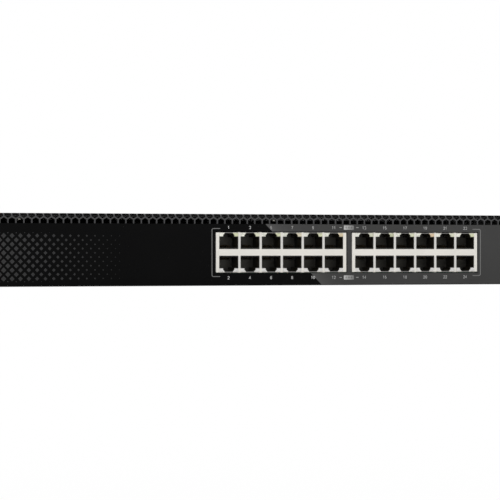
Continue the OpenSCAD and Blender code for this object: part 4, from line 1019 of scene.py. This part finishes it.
def cable_ties():
    """One tie round the DC harness and two round a cable run along Y."""
    ties = Solid()
    low, high = mm_box("dc_harness")
    ties.hoop(((low.x + high.x) / 2, (low.y + high.y) / 2, 26.5), (0, 1, 0), (0, 0, 1),
              radii=((high.y - low.y) / 2 + 0.7, 1.9), half_width=1.2)
    for x in (-66.0, -16.0):
        ties.hoop((x, 179.0, 12.0), (1, 0, 0), (0, 0, 1), radii=(3.1, 1.4), half_width=1.1)
    ties.make("cable_ties", surface(
        "tie_nylon", base=(0.035, 0.035, 0.036), rough=0.4, grain=1200, bump=0.2, edge=gray(0.1),
        edge_mm=0.1), slot="cable_gray", smooth=True)


def fan_hub_disc(side):
    """A blank disc on the front (-Y) of a fan rotor."""
    low, high = mm_box("fan_rotor_" + side)
    disc = Solid()
    disc.disc_y((low.x + high.x) / 2, (low.z + high.z) / 2, (7.9, 7.9, 7.6),
                (low.y - 0.01, low.y - 0.06, low.y - 0.10))
    finish = surface("hub_label_" + side, base=(0.30, 0.31, 0.32), rough=0.4, grain=1300,
                     bump=0.1, edge=gray(0.5), edge_mm=0.1)
    disc.make("fan_hub_disc_" + side, finish, slot="rotor_plastic",
              body="fan_" + side + "_rotor")


capacitor_tops()
cable_ties()
fan_hub_disc("left")
fan_hub_disc("right")


# ------------------------------------------------------------------ floor, light, camera
def floor_material():
    """Pale and matt; to the camera it turns to plain white at a grazing angle."""
    graph = Graph("floor_pale")
    patches = graph.ramp(graph.noise(3.0), 0.3, 0.7)
    matt = graph.node("ShaderNodeBsdfDiffuse",
                      {"Color": graph.mix(patches, gray(0.80), gray(0.84))})
    white = graph.node("ShaderNodeEmission", {"Color": gray(1), "Strength": 1.0})
    weight = graph.node("ShaderNodeLayerWeight", {"Blend": 0.5})
    path = graph.node("ShaderNodeLightPath")
    grazing = graph.ramp(weight.outputs["Facing"], 0.80, 0.93)
    factor = graph.multiply(grazing, path.outputs["Is Camera Ray"])
    return graph.finish(graph.node("ShaderNodeMixShader", {
        0: factor, 1: matt.outputs[0], 2: white.outputs[0]}))


def make_floor():
    """A disc 3 m in radius, just under the product."""
    work = bmesh.new()
    work.faces.new([work.verts.new((x, y, -0.0003)) for x, y in circle(0.0, 0.0, 3.0, 64)])
    mesh = bpy.data.meshes.new("floor")
    work.to_mesh(mesh)
    work.free()
    floor = bpy.data.objects.new("floor", mesh)
    bpy.context.scene.collection.objects.link(floor)
    mesh.materials.append(floor_material())


def make_world():
    """White to the camera, dimmer as a fill light."""
    world = bpy.data.worlds.new("studio")
    bpy.context.scene.world = world
    world.use_nodes = True
    tree = world.node_tree
    tree.nodes.clear()
    output = add_node(tree, "ShaderNodeOutputWorld")
    seen = add_node(tree, "ShaderNodeBackground", {"Color": gray(1), "Strength": 1.0})
    fill = add_node(tree, "ShaderNodeBackground", {"Color": gray(1), "Strength": 0.62})
    path = add_node(tree, "ShaderNodeLightPath")
    mixed = add_node(tree, "ShaderNodeMixShader", {
        0: path.outputs["Is Camera Ray"], 1: fill.outputs[0], 2: seen.outputs[0]})
    tree.links.new(mixed.outputs[0], output.inputs[0])


def area(name, location, target, size, power):
    """A square area light aimed at a target; metres and watts."""
    light = bpy.data.lights.new(name, "AREA")
    light.shape = "RECTANGLE"
    light.size = size
    light.size_y = size
    light.energy = power
    lamp = bpy.data.objects.new(name, light)
    bpy.context.scene.collection.objects.link(lamp)
    lamp.location = location
    aim = Vector(target) - Vector(location)
    lamp.rotation_euler = aim.to_track_quat("-Z", "Y").to_euler()


def make_camera():
    """A long lens, level with the bezel, in front and to the left."""
    data = bpy.data.cameras.new("camera")
    camera = bpy.data.objects.new("camera", data)
    bpy.context.scene.collection.objects.link(camera)
    low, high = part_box("front_bezel")
    camera.location = (-0.5571, -1.4375, (low.z + high.z) / 2 - 0.0001)
    camera.rotation_euler = (math.radians(90), 0, math.radians(-20.85))
    data.sensor_width = 36.0
    data.lens = 179.6
    data.clip_start = 0.01
    bpy.context.scene.camera = camera


make_floor()
make_world()
area("key", location=(-1.1, -1.7, 1.5), target=(0, 0, 0.02), size=1.4, power=16.0)
area("side", location=(1.6, -1.3, 0.9), target=(0, 0, 0.02), size=1.2, power=6.0)
area("top", location=(0.0, 0.4, 1.9), target=(0, 0.1, 0.02), size=1.8, power=10.0)
area("back", location=(0.3, 2.0, 1.0), target=(0, 0.2, 0.02), size=1.4, power=8.0)
make_camera()

view = bpy.context.scene.view_settings
view.view_transform = "Standard"
view.look = "None"
view.exposure = 0.0
view.gamma = 1.0
